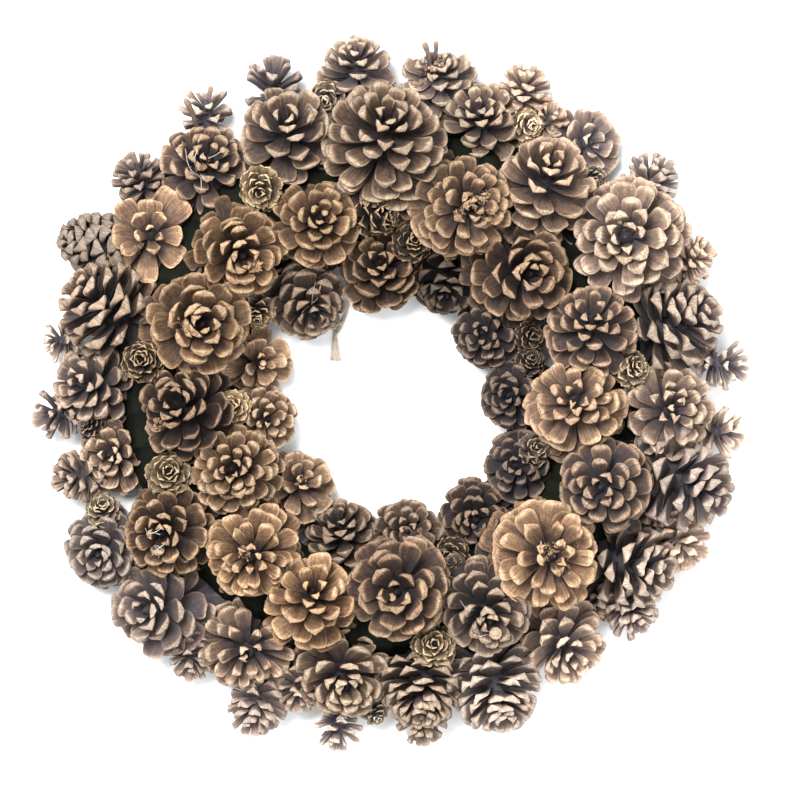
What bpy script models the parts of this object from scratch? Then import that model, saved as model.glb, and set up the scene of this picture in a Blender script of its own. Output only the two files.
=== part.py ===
"""A wreath of pine cones and larch cones, fixed all round a wrapped ring, lying on its back.

Metres, +Z up. The wreath is seen in the photograph from straight above: +X is the
photograph's right and +Y its top. The origin is on the table, below the wreath's middle.
"""
from collections import namedtuple
import math

import bpy
import numpy as np
from mathutils import Vector
from mathutils.bvhtree import BVHTree

# Driving dimensions
WREATH_ACROSS = 0.360
RING_MIDDLE_RADIUS = 0.1115
RING_WIDTH = 0.046
RING_HEIGHT = 0.036
RING_TURN_STEPS = 48
TWINE_THICKNESS = 0.002
TWINE_STEPS = 2
TOUCH_GAP = 0.0003
TABLE_GAP = 0.0008

# Where a cone stands: its middle is MIDDLE_SHARE of its radius above its base, which is
# FOOT_GAP or more off the ring, and its pointed foot reaches the ring itself.
MIDDLE_SHARE = 0.62
SIDE_SHARE = 0.92
FOOT_GAP = 0.0020
RING_CLEAR_OF_TABLE = 0.003
SPIN_SEED = 40

# How a cone is made up. BASE_RADIUS and the rim values are shares of its radius or of its
# rim's radius, the heights are shares of its length, and CORNER_DROP is a share of the lip.
BASE_RADIUS = 0.24
BASE_HEIGHT = 0.03
LOWEST_ROOT = 0.06
ROOT_SPREAD = 0.62
TIP_HEIGHT = 0.90
RIM_CORNER = 0.90
RIM_UNDERSIDE = 0.97
CORNER_DROP = 0.3
CORE_START = 0.25
CORE_END = 0.60

# How cones give way to each other: a scale starts to draw in at CROWD_START of the room it
# has, and neighbours are parted by the best of PLANE_DIRECTIONS evenly spread planes.
CROWD_START = 0.88
PLANE_DIRECTIONS = 600
LEAST_SLIDE_SLOPE = 0.3

# How a foot picks its place on the ring: behind the cone's base, on a face that looks
# towards the cone, and with the ground that belongs to a neighbour costing extra length.
FOOT_BEHIND = 0.03
FOOT_FACING = 0.25
OUTSIDE_COST = 1.5
NOT_BEHIND_COST = 1.0
RING_SPOT_TURNS = 240
RING_SPOT_ANGLES = 26
RING_SPOT_BELOW = 0.6

# The photograph is 800 by 800 pixels, and the wreath takes these pixels of it
PHOTO_MIDDLE_X = 387.5
PHOTO_MIDDLE_Y = 391.5
PHOTO_ACROSS = 702.0
PIXEL = WREATH_ACROSS / PHOTO_ACROSS
EYE_HEIGHT = 2.4

# How the scales of a kind of cone stand. Lengths are shares of the cone's radius, and the
# rows of reach and rise run from the lowest tier of scales to the topmost one.
Kind = namedtuple("Kind", "scales length core_low core_top reach rise width lip")
KINDS = {
    "open": Kind(6, 1.60, 0.30, 0.13, (1.10, 0.90, 0.54), (-8, 27, 52), 0.44, 0.11),
    "large": Kind(7, 1.50, 0.30, 0.13, (1.06, 1.00, 0.76, 0.45), (-10, 14, 36, 50), 0.44, 0.09),
    "wide": Kind(5, 1.40, 0.26, 0.13, (1.06, 0.88, 0.52), (-4, 22, 50), 0.40, 0.11),
    "side": Kind(6, 1.75, 0.34, 0.14, (1.06, 0.97, 0.61), (2, 30, 52), 0.43, 0.12),
    "closed": Kind(6, 2.10, 0.62, 0.26, (0.90, 1.00, 0.84, 0.56), (30, 45, 50, 52), 0.46, 0.16),
    "finger": Kind(5, 1.40, 0.34, 0.20, (1.05, 0.88), (6, 36), 0.30, 0.14),
    "larch": Kind(5, 1.50, 0.40, 0.22, (1.05, 0.74), (24, 50), 0.46, 0.12),
}

# The cones, node by node and in the order they stand round the wreath. x and y are the middle
# of a cone's outline in the photograph's pixels and across its width there. lean is how
# far its tip turns away from the eye and lean_to the way it turns, in degrees, with 0 to
# the photograph's right and 90 to its top. lift is in millimetres above the cone's seat.
Cone = namedtuple("Cone", "node kind x y across lean_to lean lift")
CONES = (
    Cone("pine_cones_01", "open", 206, 166, 90, 30, 20, 0),
    Cone("pine_cones_01", "finger", 207, 112, 48, 95, 75, 0),
    Cone("pine_cones_02", "open", 150, 235, 86, 100, 18, 0),
    Cone("pine_cones_02", "finger", 141, 180, 52, 120, 70, 0),
    Cone("pine_cones_02", "closed", 95, 244, 70, 155, 68, 0),
    Cone("pine_cones_03", "open", 240, 252, 84, 305, 18, 0),
    Cone("pine_cones_04", "side", 356, 73, 74, 90, 55, 0),
    Cone("pine_cones_04", "larch", 328, 99, 38, 230, 22, 4),
    Cone("pine_cones_05", "open", 438, 72, 78, 100, 30, 0),
    Cone("pine_cones_06", "open", 480, 122, 84, 100, 30, 0),
    Cone("pine_cones_06", "finger", 525, 86, 50, 80, 70, 0),
    Cone("pine_cones_06", "larch", 528, 126, 30, 350, 25, 0),
    Cone("pine_cones_07", "open", 287, 135, 90, 95, 28, 0),
    Cone("pine_cones_07", "finger", 274, 84, 56, 95, 75, 0),
    Cone("pine_cones_07", "larch", 263, 188, 44, 250, 16, 2),
    Cone("pine_cones_08", "large", 386, 137, 118, 80, 20, 4),
    Cone("pine_cones_09", "open", 320, 221, 84, 50, 14, 0),
    Cone("pine_cones_09", "larch", 380, 216, 46, 5, 50, 0),
    Cone("pine_cones_10", "large", 466, 207, 100, 0, 10, 4),
    Cone("pine_cones_11", "side", 546, 180, 92, 55, 42, 0),
    Cone("pine_cones_12", "open", 588, 144, 72, 25, 32, 0),
    Cone("pine_cones_12", "larch", 594, 180, 26, 290, 28, 4),
    Cone("pine_cones_13", "large", 627, 237, 120, 5, 12, 4),
    Cone("pine_cones_13", "finger", 652, 178, 54, 50, 70, 0),
    Cone("pine_cones_14", "open", 524, 273, 94, 350, 16, 0),
    Cone("pine_cones_15", "open", 591, 327, 88, 90, 24, 0),
    Cone("pine_cones_16", "side", 676, 322, 94, 30, 60, 0),
    Cone("pine_cones_16", "finger", 690, 258, 44, 40, 70, 0),
    Cone("pine_cones_16", "finger", 721, 366, 48, 350, 70, 0),
    Cone("pine_cones_17", "open", 574, 403, 88, 95, 20, 0),
    Cone("pine_cones_18", "side", 668, 411, 92, 10, 34, 3),
    Cone("pine_cones_18", "larch", 633, 368, 34, 130, 18, 6),
    Cone("pine_cones_18", "finger", 719, 430, 46, 350, 70, 0),
    Cone("pine_cones_19", "open", 603, 486, 92, 150, 8, 0),
    Cone("pine_cones_20", "side", 691, 488, 88, 345, 68, 0),
    Cone("pine_cones_20", "finger", 680, 543, 56, 290, 65, 0),
    Cone("pine_cones_21", "large", 548, 556, 104, 10, 12, 4),
    Cone("pine_cones_22", "side", 636, 572, 78, 315, 60, 0),
    Cone("pine_cones_22", "finger", 628, 613, 52, 300, 70, 0),
    Cone("pine_cones_23", "side", 562, 643, 86, 305, 42, 0),
    Cone("pine_cones_24", "open", 486, 611, 90, 290, 26, 0),
    Cone("pine_cones_25", "side", 498, 692, 86, 285, 50, 0),
    Cone("pine_cones_26", "side", 422, 689, 78, 270, 42, 0),
    Cone("pine_cones_26", "larch", 434, 645, 44, 70, 10, 12),
    Cone("pine_cones_26", "finger", 421, 728, 54, 270, 70, 0),
    Cone("pine_cones_27", "large", 399, 588, 100, 220, 10, 4),
    Cone("pine_cones_28", "open", 343, 673, 92, 280, 30, 3),
    Cone("pine_cones_28", "larch", 376, 713, 30, 300, 45, -10),
    Cone("pine_cones_28", "finger", 338, 731, 52, 265, 70, 0),
    Cone("pine_cones_29", "open", 313, 597, 86, 100, 12, 0),
    Cone("pine_cones_30", "open", 248, 646, 96, 290, 22, 0),
    Cone("pine_cones_30", "finger", 256, 710, 60, 260, 70, 0),
    Cone("pine_cones_30", "finger", 299, 690, 46, 265, 60, 0),
    Cone("pine_cones_31", "wide", 253, 554, 92, 260, 8, -3),
    Cone("pine_cones_32", "open", 168, 530, 88, 200, 16, 0),
    Cone("pine_cones_32", "larch", 169, 473, 44, 90, 14, 2),
    Cone("pine_cones_33", "open", 156, 610, 96, 200, 10, 0),
    Cone("pine_cones_33", "finger", 191, 657, 46, 270, 65, 0),
    Cone("pine_cones_34", "open", 103, 550, 78, 230, 18, 0),
    Cone("pine_cones_34", "larch", 103, 508, 36, 90, 30, 2),
    Cone("pine_cones_35", "open", 114, 455, 74, 180, 18, 0),
    Cone("pine_cones_35", "finger", 75, 476, 50, 190, 70, 0),
    Cone("pine_cones_35", "larch", 87, 427, 28, 140, 50, 2),
    Cone("pine_cones_36", "open", 182, 408, 86, 150, 14, 0),
    Cone("pine_cones_36", "larch", 142, 361, 40, 130, 16, 0),
    Cone("pine_cones_37", "open", 93, 385, 78, 170, 24, 0),
    Cone("pine_cones_37", "finger", 57, 412, 48, 190, 70, 0),
    Cone("pine_cones_38", "side", 105, 311, 90, 175, 60, 0),
    Cone("pine_cones_38", "finger", 59, 341, 46, 190, 70, 0),
    Cone("pine_cones_39", "open", 198, 324, 98, 185, 16, 5),
    Cone("pine_cones_40", "open", 235, 470, 88, 130, 8, 4),
    Cone("pine_cones_41", "open", 382, 268, 82, 85, 12, 10),
    Cone("pine_cones_41", "larch", 413, 242, 38, 40, 12, 8),
    Cone("pine_cones_42", "side", 447, 281, 72, 270, 46, 0),
    Cone("pine_cones_43", "side", 307, 303, 76, 280, 46, 0),
    Cone("pine_cones_43", "larch", 257, 313, 36, 200, 40, 6),
    Cone("pine_cones_44", "wide", 258, 363, 68, 0, 36, 4),
    Cone("pine_cones_45", "open", 263, 419, 66, 0, 14, 7),
    Cone("pine_cones_45", "larch", 232, 407, 34, 160, 16, 6),
    Cone("pine_cones_46", "wide", 300, 483, 68, 50, 40, 4),
    Cone("pine_cones_47", "side", 342, 533, 72, 100, 44, 0),
    Cone("pine_cones_48", "open", 407, 534, 70, 80, 8, 7),
    Cone("pine_cones_49", "open", 476, 517, 70, 270, 8, 6),
    Cone("pine_cones_49", "larch", 452, 557, 36, 240, 14, 8),
    Cone("pine_cones_50", "open", 519, 466, 72, 170, 14, 7),
    Cone("pine_cones_50", "larch", 536, 449, 34, 50, 16, 10),
    Cone("pine_cones_51", "open", 513, 396, 68, 180, 16, 7),
    Cone("pine_cones_51", "larch", 531, 361, 28, 60, 20, 5),
    Cone("pine_cones_52", "open", 486, 333, 68, 180, 14, 9),
    Cone("pine_cones_52", "larch", 531, 337, 30, 10, 20, 5),
)

# Where the twine runs: x, y and height above the table in metres, chosen by hand.
# Both strands come out of the ring's inner wall, fall to the table and meet in the knot.
TWINE_LONG_WAY = (
    (-0.03017, 0.08482, 0.0058),
    (-0.0290, 0.0816, 0.0034),
    (-0.0272, 0.0768, 0.0015),
    (-0.0250, 0.0700, 0.0011),
    (-0.0226, 0.0625, 0.0011),
    (-0.0208, 0.0545, 0.0011),
    (-0.0203, 0.0469, 0.0011),
    (-0.0213, 0.0404, 0.0011),
    (-0.02306, 0.03556, 0.0011),
)
TWINE_SHORT_WAY = (
    (-0.05548, 0.07098, 0.0058),
    (-0.0534, 0.0682, 0.0034),
    (-0.0502, 0.0642, 0.0015),
    (-0.0455, 0.0585, 0.0011),
    (-0.0405, 0.0520, 0.0011),
    (-0.0355, 0.0450, 0.0011),
    (-0.0312, 0.0393, 0.0011),
    (-0.02792, 0.03515, 0.0011),
)
TWINE_TAIL_WAY = (
    (-0.02658, 0.02962, 0.0011),
    (-0.0270, 0.0262, 0.0011),
    (-0.0271, 0.0217, 0.0011),
    (-0.0267, 0.0172, 0.0011),
)
KNOT_MIDDLE = (-0.0259, 0.0331, 0.0025)
KNOT_WIDTH = 0.0066
KNOT_LENGTH = 0.0066
KNOT_HEIGHT = 0.0044


def clear_scene():
    for thing in list(bpy.data.objects):
        bpy.data.objects.remove(thing)


def make_material(name, colour, roughness):
    material = bpy.data.materials.new(name)
    material.use_nodes = True
    shader = material.node_tree.nodes["Principled BSDF"]
    shader.inputs["Base Color"].default_value = (*colour, 1.0)
    shader.inputs["Roughness"].default_value = roughness
    shader.inputs["Metallic"].default_value = 0.0
    return material


def add_mesh_object(name, points, faces, material):
    mesh = bpy.data.meshes.new(name)
    mesh.from_pydata([tuple(point) for point in points], [], faces)
    mesh.materials.append(material)
    thing = bpy.data.objects.new(name, mesh)
    bpy.context.scene.collection.objects.link(thing)
    return thing


def ring_section():
    """The ring's cross section: an oval with a flat back, as (outward, up) points."""
    half = RING_WIDTH / 2
    shares = (
        (0.0, 0.0), (0.72, 0.0), (1.0, 0.24), (1.0, 0.56), (0.74, 0.88),
        (0.0, 1.0), (-0.74, 0.88), (-1.0, 0.56), (-1.0, 0.24), (-0.72, 0.0),
    )
    return [(half * out, RING_HEIGHT * up) for out, up in shares]


def make_ring(material):
    """The wrapped ring that everything stands on, flat at the back."""
    section = ring_section()
    points = []
    for step in range(RING_TURN_STEPS):
        turn = 2 * math.pi * step / RING_TURN_STEPS
        for out, up in section:
            radius = RING_MIDDLE_RADIUS + out
            points.append((radius * math.cos(turn), radius * math.sin(turn), up))
    count = len(section)
    faces = []
    for step in range(RING_TURN_STEPS):
        here = step * count
        there = ((step + 1) % RING_TURN_STEPS) * count
        for side in range(count):
            after = (side + 1) % count
            faces.append((here + side, there + side, there + after, here + after))
    return add_mesh_object("base_ring", points, faces, material)


def polar(radius, turn, height):
    return (radius * math.cos(turn), radius * math.sin(turn), height)


def core_place(kind, radius, share):
    """Radius and height of the core at this share of the stretch that bears scales."""
    core = radius * (kind.core_low + (kind.core_top - kind.core_low) * share)
    return core, radius * kind.length * (LOWEST_ROOT + ROOT_SPREAD * share)


def cone_outline(kind, radius):
    """Each tier's rim radius and height, and the core's above it, from the base up."""
    rows = []
    for tier, (reach, rise) in enumerate(zip(kind.reach, kind.rise)):
        root_radius, root_height = core_place(kind, radius, (tier + 0.5) / len(kind.reach))
        rim_radius = radius * reach
        rim_height = root_height + (rim_radius - root_radius) * math.tan(math.radians(rise))
        rows.append((rim_radius, rim_height, *core_place(kind, radius, (tier + 1) / len(kind.reach))))
    return rows


def cone_mesh(kind, radius):
    """One closed cone: staggered tiers of scales round a slimmer core, tip up.

    Every scale has a root on the core above and below it, a rim of three points
    and a lower rim point that makes its thick outer end.
    """
    count = kind.scales
    step = 2 * math.pi / count
    low = radius * BASE_RADIUS
    low_height = radius * kind.length * BASE_HEIGHT
    points = [(0.0, 0.0, 0.0)]
    faces = []
    start = len(points)
    for scale in range(count):
        turn = scale * step
        points.append(polar(low, turn, low_height))
        faces.append((0, start + (scale + 1) % count, start + scale))
    below = list(range(start, start + count))
    half = kind.width * step
    lip = kind.lip * radius
    for tier, (rim_radius, rim_height, upper_radius, upper_height) in enumerate(cone_outline(kind, radius)):
        offset = (tier % 2) * step / 2
        corner = rim_radius * RIM_CORNER
        corner_height = rim_height - CORNER_DROP * lip
        start = len(points)
        for scale in range(count):
            turn = offset + scale * step
            points += [
                polar(corner, turn - half, corner_height),
                polar(rim_radius, turn, rim_height),
                polar(corner, turn + half, corner_height),
                polar(rim_radius * RIM_UNDERSIDE, turn, rim_height - lip),
                polar(upper_radius, turn + step / 2, upper_height),
            ]
        for scale in range(count):
            left, middle, right, lower, after = (start + 5 * scale + corner for corner in range(5))
            before = start + 5 * ((scale - 1) % count) + 4
            root = below[scale]
            next_root = below[(scale + 1) % count]
            next_left = start + 5 * ((scale + 1) % count)
            faces += [
                (before, left, middle), (before, middle, after), (after, middle, right),
                (left, lower, middle), (middle, lower, right),
                (root, lower, left), (root, right, lower),
                (after, right, root), (after, root, next_root), (after, next_root, next_left),
            ]
        above = [start + 5 * scale + 4 for scale in range(count)]
        below = above if tier % 2 == 0 else above[-1:] + above[:-1]
    tip = len(points)
    points.append((0.0, 0.0, radius * kind.length * TIP_HEIGHT))
    for scale in range(count):
        faces.append((tip, below[scale], below[(scale + 1) % count]))
    return np.array(points), faces


def table_point(x, y, height):
    """The place over the table that the photograph shows at x, y, for this height."""
    scale = PIXEL * (1.0 - height / EYE_HEIGHT)
    return Vector(((x - PHOTO_MIDDLE_X) * scale, (PHOTO_MIDDLE_Y - y) * scale, height))


def tip_direction(cone):
    """The way the cone's tip points."""
    lean = math.radians(cone.lean)
    towards = math.radians(cone.lean_to)
    flat = math.sin(lean)
    return Vector((flat * math.cos(towards), flat * math.sin(towards), math.cos(lean)))


def seat_height(cone, radius):
    """How high a cone's middle sits when it lies round the ring, clear of the table."""
    spot = table_point(cone.x, cone.y, 0.0)
    reach = RING_HEIGHT / 2 + FOOT_GAP + radius * MIDDLE_SHARE
    outward = (math.hypot(spot.x, spot.y) - RING_MIDDLE_RADIUS) / reach
    arc = reach * math.sqrt(max(0.0, 1.0 - outward * outward))
    lean = math.radians(cone.lean)
    own_depth = radius * (MIDDLE_SHARE * math.cos(lean) + SIDE_SHARE * math.sin(lean))
    return max(RING_HEIGHT / 2 + arc, own_depth + TABLE_GAP) + cone.lift / 1000.0


Placed = namedtuple("Placed", "cone points faces core_low core_top height")


def place_cone(cone, index, host_height, ring_tree):
    """The cone's mesh where it sits, turned about its own axis by a seeded draw.

    A cone whose foot would stand in the ring is drawn out along its own axis.
    A larch cone lies at the height of the pine cone that it is fixed to.
    """
    radius = cone.across * PIXEL / 2
    points, faces = cone_mesh(KINDS[cone.kind], radius)
    axis = tip_direction(cone)
    spin = np.random.default_rng(SPIN_SEED + index).uniform(0, 2 * math.pi)
    side = axis.orthogonal().normalized()
    across = axis.cross(side)
    start = side * math.cos(spin) + across * math.sin(spin)
    frame = np.array([start, axis.cross(start), axis])
    height = seat_height(cone, radius)
    if cone.kind == "larch":
        height = host_height + cone.lift / 1000.0
    middle = table_point(cone.x, cone.y, height)
    foot = np.array(middle) - np.array(axis) * radius * MIDDLE_SHARE
    spot, normal, _, _ = ring_tree.find_nearest(Vector(foot))
    clear = (Vector(foot) - spot).dot(normal)
    if clear < FOOT_GAP:
        foot += np.array(axis) * (FOOT_GAP - clear) / max(axis.dot(normal), LEAST_SLIDE_SLOPE)
    length = radius * KINDS[cone.kind].length
    core_low = foot + np.array(axis) * length * CORE_START
    core_top = foot + np.array(axis) * length * CORE_END
    return Placed(cone, foot + points @ frame, faces, core_low, core_top, height)


def place_all(ring_tree):
    """Every cone where it sits. The first of each node is the one that stands on the ring."""
    all_placed = []
    hosts = {}
    for index, cone in enumerate(CONES):
        host = hosts.get(cone.node)
        placed = place_cone(cone, index, host.height if host else 0.0, ring_tree)
        hosts.setdefault(cone.node, placed)
        all_placed.append(placed)
    return all_placed


def sphere_directions(count):
    """Directions spread evenly over a sphere."""
    golden = math.pi * (3.0 - math.sqrt(5.0))
    rows = np.arange(count) + 0.5
    up = 1.0 - 2.0 * rows / count
    flat = np.sqrt(1.0 - up * up)
    return np.stack([flat * np.cos(golden * rows), flat * np.sin(golden * rows), up], axis=1)


def dividing_plane(first, second, directions):
    """The plane that best parts two cones: direction, its place, and how deep they cross.

    The crossing depth is shared out in proportion to how far each reaches towards
    the other, so a large cone gives way by more millimetres than a small one.
    """
    first_far = (first.points @ directions.T).max(axis=0)
    second_near = (second.points @ directions.T).min(axis=0)
    gaps = second_near - first_far
    best = int(np.argmax(gaps))
    direction = directions[best]
    middle_first = float((first.core_low + first.core_top) @ direction) / 2
    middle_second = float((second.core_low + second.core_top) @ direction) / 2
    first_reach = max(first_far[best] - middle_first, 1e-6)
    second_reach = max(middle_second - second_near[best], 1e-6)
    share = first_reach / (first_reach + second_reach)
    place = first_far[best] + gaps[best] * share
    return direction, place, float(gaps[best])


def ring_plane(placed, ring_tree):
    """A plane on the ring's surface that the cone stays outside of.

    On the ring's inner side, which is hollow, the plane is drawn back to let the cone in.
    """
    middle = Vector((placed.core_low + placed.core_top) / 2)
    spot, normal, _, _ = ring_tree.find_nearest(middle)
    outward = (middle - spot).normalized()
    hollow = 0.0
    radius = math.hypot(spot.x, spot.y)
    inward = -(outward.x * spot.x + outward.y * spot.y) / max(radius, 1e-9)
    if inward > 0.0:
        half_across = placed.cone.across * PIXEL / 2
        hollow = inward * half_across * half_across / (2 * radius)
    direction = -np.array(outward)
    return direction, float(direction @ np.array(spot)) - hollow


def cell_planes(all_placed, ring_tree):
    """For each cone, the planes round the room that it has to itself."""
    directions = sphere_directions(PLANE_DIRECTIONS)
    planes = [[] for _ in all_placed]
    for index, placed in enumerate(all_placed):
        planes[index].append((np.array((0.0, 0.0, -1.0)), -TABLE_GAP))
        direction, place = ring_plane(placed, ring_tree)
        planes[index].append((direction, place - TOUCH_GAP))
    for index, first in enumerate(all_placed):
        for other in range(index + 1, len(all_placed)):
            second = all_placed[other]
            reach = (first.cone.across + second.cone.across) * PIXEL
            if np.linalg.norm(first.core_low - second.core_low) > reach:
                continue
            direction, place, gap = dividing_plane(first, second, directions)
            if gap < TOUCH_GAP * 2:
                planes[index].append((direction, place - TOUCH_GAP / 2))
                planes[other].append((-direction, -place - TOUCH_GAP / 2))
    return planes


def nearest_on_core(points, core_low, core_top):
    along = core_top - core_low
    share = np.clip(((points - core_low) @ along) / (along @ along), 0.0, 1.0)
    return core_low + share[:, None] * along


def crowd(points, core_low, core_top, planes):
    """Draw points in towards the core so that none passes a plane, the near ones barely moved."""
    roots = nearest_on_core(points, core_low, core_top)
    rays = points - roots
    room = np.full(len(points), np.inf)
    for direction, place in planes:
        towards = rays @ direction
        left = np.maximum(place - roots @ direction, 1e-5)
        room = np.where(towards > 1e-9, np.minimum(room, left / np.maximum(towards, 1e-9)), room)
    room = np.minimum(room, 1e3)
    filled = 1.0 / room
    slack = 1.0 - CROWD_START
    eased = 1.0 - slack * np.exp((CROWD_START - filled) / slack)
    shrink = np.where(filled < CROWD_START, 1.0, eased * room)
    return roots + rays * shrink[:, None]


def ring_spots(ring_tree):
    """Places all over the ring's surface, just off it, that a cone's foot can reach."""
    spots = []
    normals = []
    for turn in np.linspace(0, 2 * math.pi, RING_SPOT_TURNS, endpoint=False):
        for angle in np.linspace(-RING_SPOT_BELOW, math.pi + RING_SPOT_BELOW, RING_SPOT_ANGLES):
            out = RING_MIDDLE_RADIUS + RING_WIDTH * math.cos(angle)
            high = RING_HEIGHT * (0.5 + math.sin(angle))
            spot, normal, _, _ = ring_tree.find_nearest(
                Vector((out * math.cos(turn), out * math.sin(turn), high))
            )
            if spot.z > RING_CLEAR_OF_TABLE:
                spots.append(spot + normal * TOUCH_GAP)
                normals.append(normal)
    return np.array(spots), np.array(normals)


def foot_spot(placed, planes, spots, normals):
    """The place on the ring behind the cone that its foot reaches best."""
    foot = placed.points[0]
    axis = np.array(tip_direction(placed.cone))
    radius = placed.cone.across * PIXEL / 2
    away = spots - foot
    distance = np.linalg.norm(away, axis=1)
    facing = (-away * normals).sum(axis=1) > FOOT_FACING * distance
    behind = (away @ axis < -FOOT_BEHIND * radius) & facing
    outside = np.zeros(len(spots))
    for direction, place in planes[2:]:
        outside = np.maximum(outside, spots @ direction - place)
    cost = distance + OUTSIDE_COST * outside + np.where(behind, 0.0, NOT_BEHIND_COST)
    return spots[int(np.argmin(cost))]


def unite(name, pieces):
    """Join the pieces of one node into one closed body."""
    body = pieces[0]
    group = bpy.data.collections.new(name + "_rest")
    bpy.context.scene.collection.children.link(group)
    for piece in pieces[1:]:
        bpy.context.scene.collection.objects.unlink(piece)
        group.objects.link(piece)
    union = body.modifiers.new("union", "BOOLEAN")
    union.operation = "UNION"
    union.operand_type = "COLLECTION"
    union.collection = group
    union.solver = "EXACT"
    shape = bpy.data.meshes.new_from_object(body.evaluated_get(bpy.context.evaluated_depsgraph_get()))
    body.modifiers.clear()
    body.data = shape
    body.name = name
    for piece in list(group.objects):
        bpy.data.objects.remove(piece)
    bpy.data.collections.remove(group)
    return body


def make_cones(ring, material):
    """Every node of cones: each first cone stands on the ring, the rest are fixed to it."""
    depsgraph = bpy.context.evaluated_depsgraph_get()
    ring_tree = BVHTree.FromObject(ring, depsgraph)
    spots, normals = ring_spots(ring_tree)
    all_placed = place_all(ring_tree)
    planes = cell_planes(all_placed, ring_tree)
    nodes = {}
    for index, placed in enumerate(all_placed):
        nodes.setdefault(placed.cone.node, []).append(index)
    for node, members in nodes.items():
        pieces = []
        host = all_placed[members[0]]
        for index in members:
            placed = all_placed[index]
            shaped = crowd(placed.points, placed.core_low, placed.core_top, planes[index])
            if placed is host:
                shaped[0] = foot_spot(placed, planes[index], spots, normals)
            else:
                shaped[0] = host.core_low
            pieces.append(add_mesh_object(f"{node}_{index}", shaped, placed.faces, material))
        unite(node, pieces)


def smooth_way(points, per_span):
    """Points read from a smooth curve through the way's own points."""
    ends = [2 * Vector(points[0]) - Vector(points[1]), 2 * Vector(points[-1]) - Vector(points[-2])]
    knots = [ends[0], *(Vector(point) for point in points), ends[1]]
    way = []
    for before, here, there, beyond in zip(knots, knots[1:], knots[2:], knots[3:]):
        for step in range(per_span):
            share = step / per_span
            way.append(0.5 * (
                2 * here + (there - before) * share
                + (2 * before - 5 * here + 4 * there - beyond) * share ** 2
                + (3 * here - before - 3 * there + beyond) * share ** 3
            ))
    way.append(Vector(points[-1]))
    return way


def make_twine(name, points, material):
    curve = bpy.data.curves.new(name, "CURVE")
    curve.dimensions = "3D"
    curve.bevel_depth = TWINE_THICKNESS / 2
    curve.bevel_resolution = 2
    curve.use_fill_caps = True
    way = smooth_way(points, TWINE_STEPS)
    spline = curve.splines.new("POLY")
    spline.points.add(len(way) - 1)
    for place, point in zip(spline.points, way):
        place.co = (*point, 1.0)
    curve.materials.append(material)
    twine = bpy.data.objects.new(name, curve)
    bpy.context.scene.collection.objects.link(twine)


def make_knot(material):
    """The lump that the two strands and the tail of the twine meet in."""
    bpy.ops.mesh.primitive_uv_sphere_add(segments=10, ring_count=7, radius=0.5)
    knot = bpy.context.active_object
    knot.name = "twine_knot"
    knot.scale = (KNOT_WIDTH, KNOT_LENGTH, KNOT_HEIGHT)
    knot.location = KNOT_MIDDLE
    knot.data.shade_smooth()
    knot.data.materials.append(material)


def centre_on_origin():
    """Move the whole wreath so that its middle is over the origin."""
    bpy.context.view_layer.update()
    things = list(bpy.context.scene.collection.objects)
    corners = np.array([
        thing.matrix_world @ Vector(corner) for thing in things for corner in thing.bound_box
    ])
    middle = (corners.min(axis=0) + corners.max(axis=0)) / 2
    for thing in things:
        thing.location.x -= middle[0]
        thing.location.y -= middle[1]


def build():
    clear_scene()
    scale_material = make_material("cone_scale", (0.36, 0.25, 0.16), 0.75)
    wrap_material = make_material("ring_wrap", (0.030, 0.032, 0.026), 0.85)
    jute_material = make_material("jute_twine", (0.44, 0.38, 0.27), 0.95)
    ring = make_ring(wrap_material)
    make_cones(ring, scale_material)
    make_twine("twine_long_strand", TWINE_LONG_WAY, jute_material)
    make_twine("twine_short_strand", TWINE_SHORT_WAY, jute_material)
    make_twine("twine_tail", TWINE_TAIL_WAY, jute_material)
    make_knot(jute_material)
    centre_on_origin()


build()
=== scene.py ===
"""A wreath of pine cones and larch cones lying on its back on a white table, seen from above.

Metres, +Z up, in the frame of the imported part: +X is the photograph's right and +Y its top.
"""

import math
from collections import namedtuple

import bpy
import numpy as np
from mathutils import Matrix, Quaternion, Vector
from mathutils.bvhtree import BVHTree


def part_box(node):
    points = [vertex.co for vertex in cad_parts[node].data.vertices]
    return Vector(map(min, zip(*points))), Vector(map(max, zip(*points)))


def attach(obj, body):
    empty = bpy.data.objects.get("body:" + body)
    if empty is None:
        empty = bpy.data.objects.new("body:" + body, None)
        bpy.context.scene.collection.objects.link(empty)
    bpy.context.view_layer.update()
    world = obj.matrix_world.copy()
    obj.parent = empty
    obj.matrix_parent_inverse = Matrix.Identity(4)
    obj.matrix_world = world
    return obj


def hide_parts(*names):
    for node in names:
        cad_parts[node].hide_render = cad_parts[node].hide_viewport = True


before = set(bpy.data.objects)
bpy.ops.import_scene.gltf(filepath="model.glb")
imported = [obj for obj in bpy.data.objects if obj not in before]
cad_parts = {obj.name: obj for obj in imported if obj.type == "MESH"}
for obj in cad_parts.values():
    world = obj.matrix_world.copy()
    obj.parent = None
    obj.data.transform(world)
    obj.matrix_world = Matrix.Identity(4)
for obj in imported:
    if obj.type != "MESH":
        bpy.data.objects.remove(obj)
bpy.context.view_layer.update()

# The photograph: its size and the wreath's middle and width there in pixels, the wreath's real
# width, the size of a pixel, and how high over the table the eye is and how far it sees
PHOTO_SIZE = 800
PHOTO_MIDDLE_X = 387.5
PHOTO_MIDDLE_Y = 391.5
PHOTO_ACROSS = 702.0
WREATH_ACROSS = 0.360
PIXEL = WREATH_ACROSS / PHOTO_ACROSS
EYE_HEIGHT = 2.4
SIGHT_END = 20.0

# The base ring, as in the part, and its section as shares of half its width and of its height
RING_MIDDLE_RADIUS = 0.1115
RING_WIDTH = 0.046
RING_HEIGHT = 0.036
RING_SECTION = (
    (0.0, 0.0), (0.72, 0.0), (1.0, 0.24), (1.0, 0.56), (0.74, 0.88),
    (0.0, 1.0), (-0.74, 0.88), (-1.0, 0.56), (-1.0, 0.24), (-0.72, 0.0),
)

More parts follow.
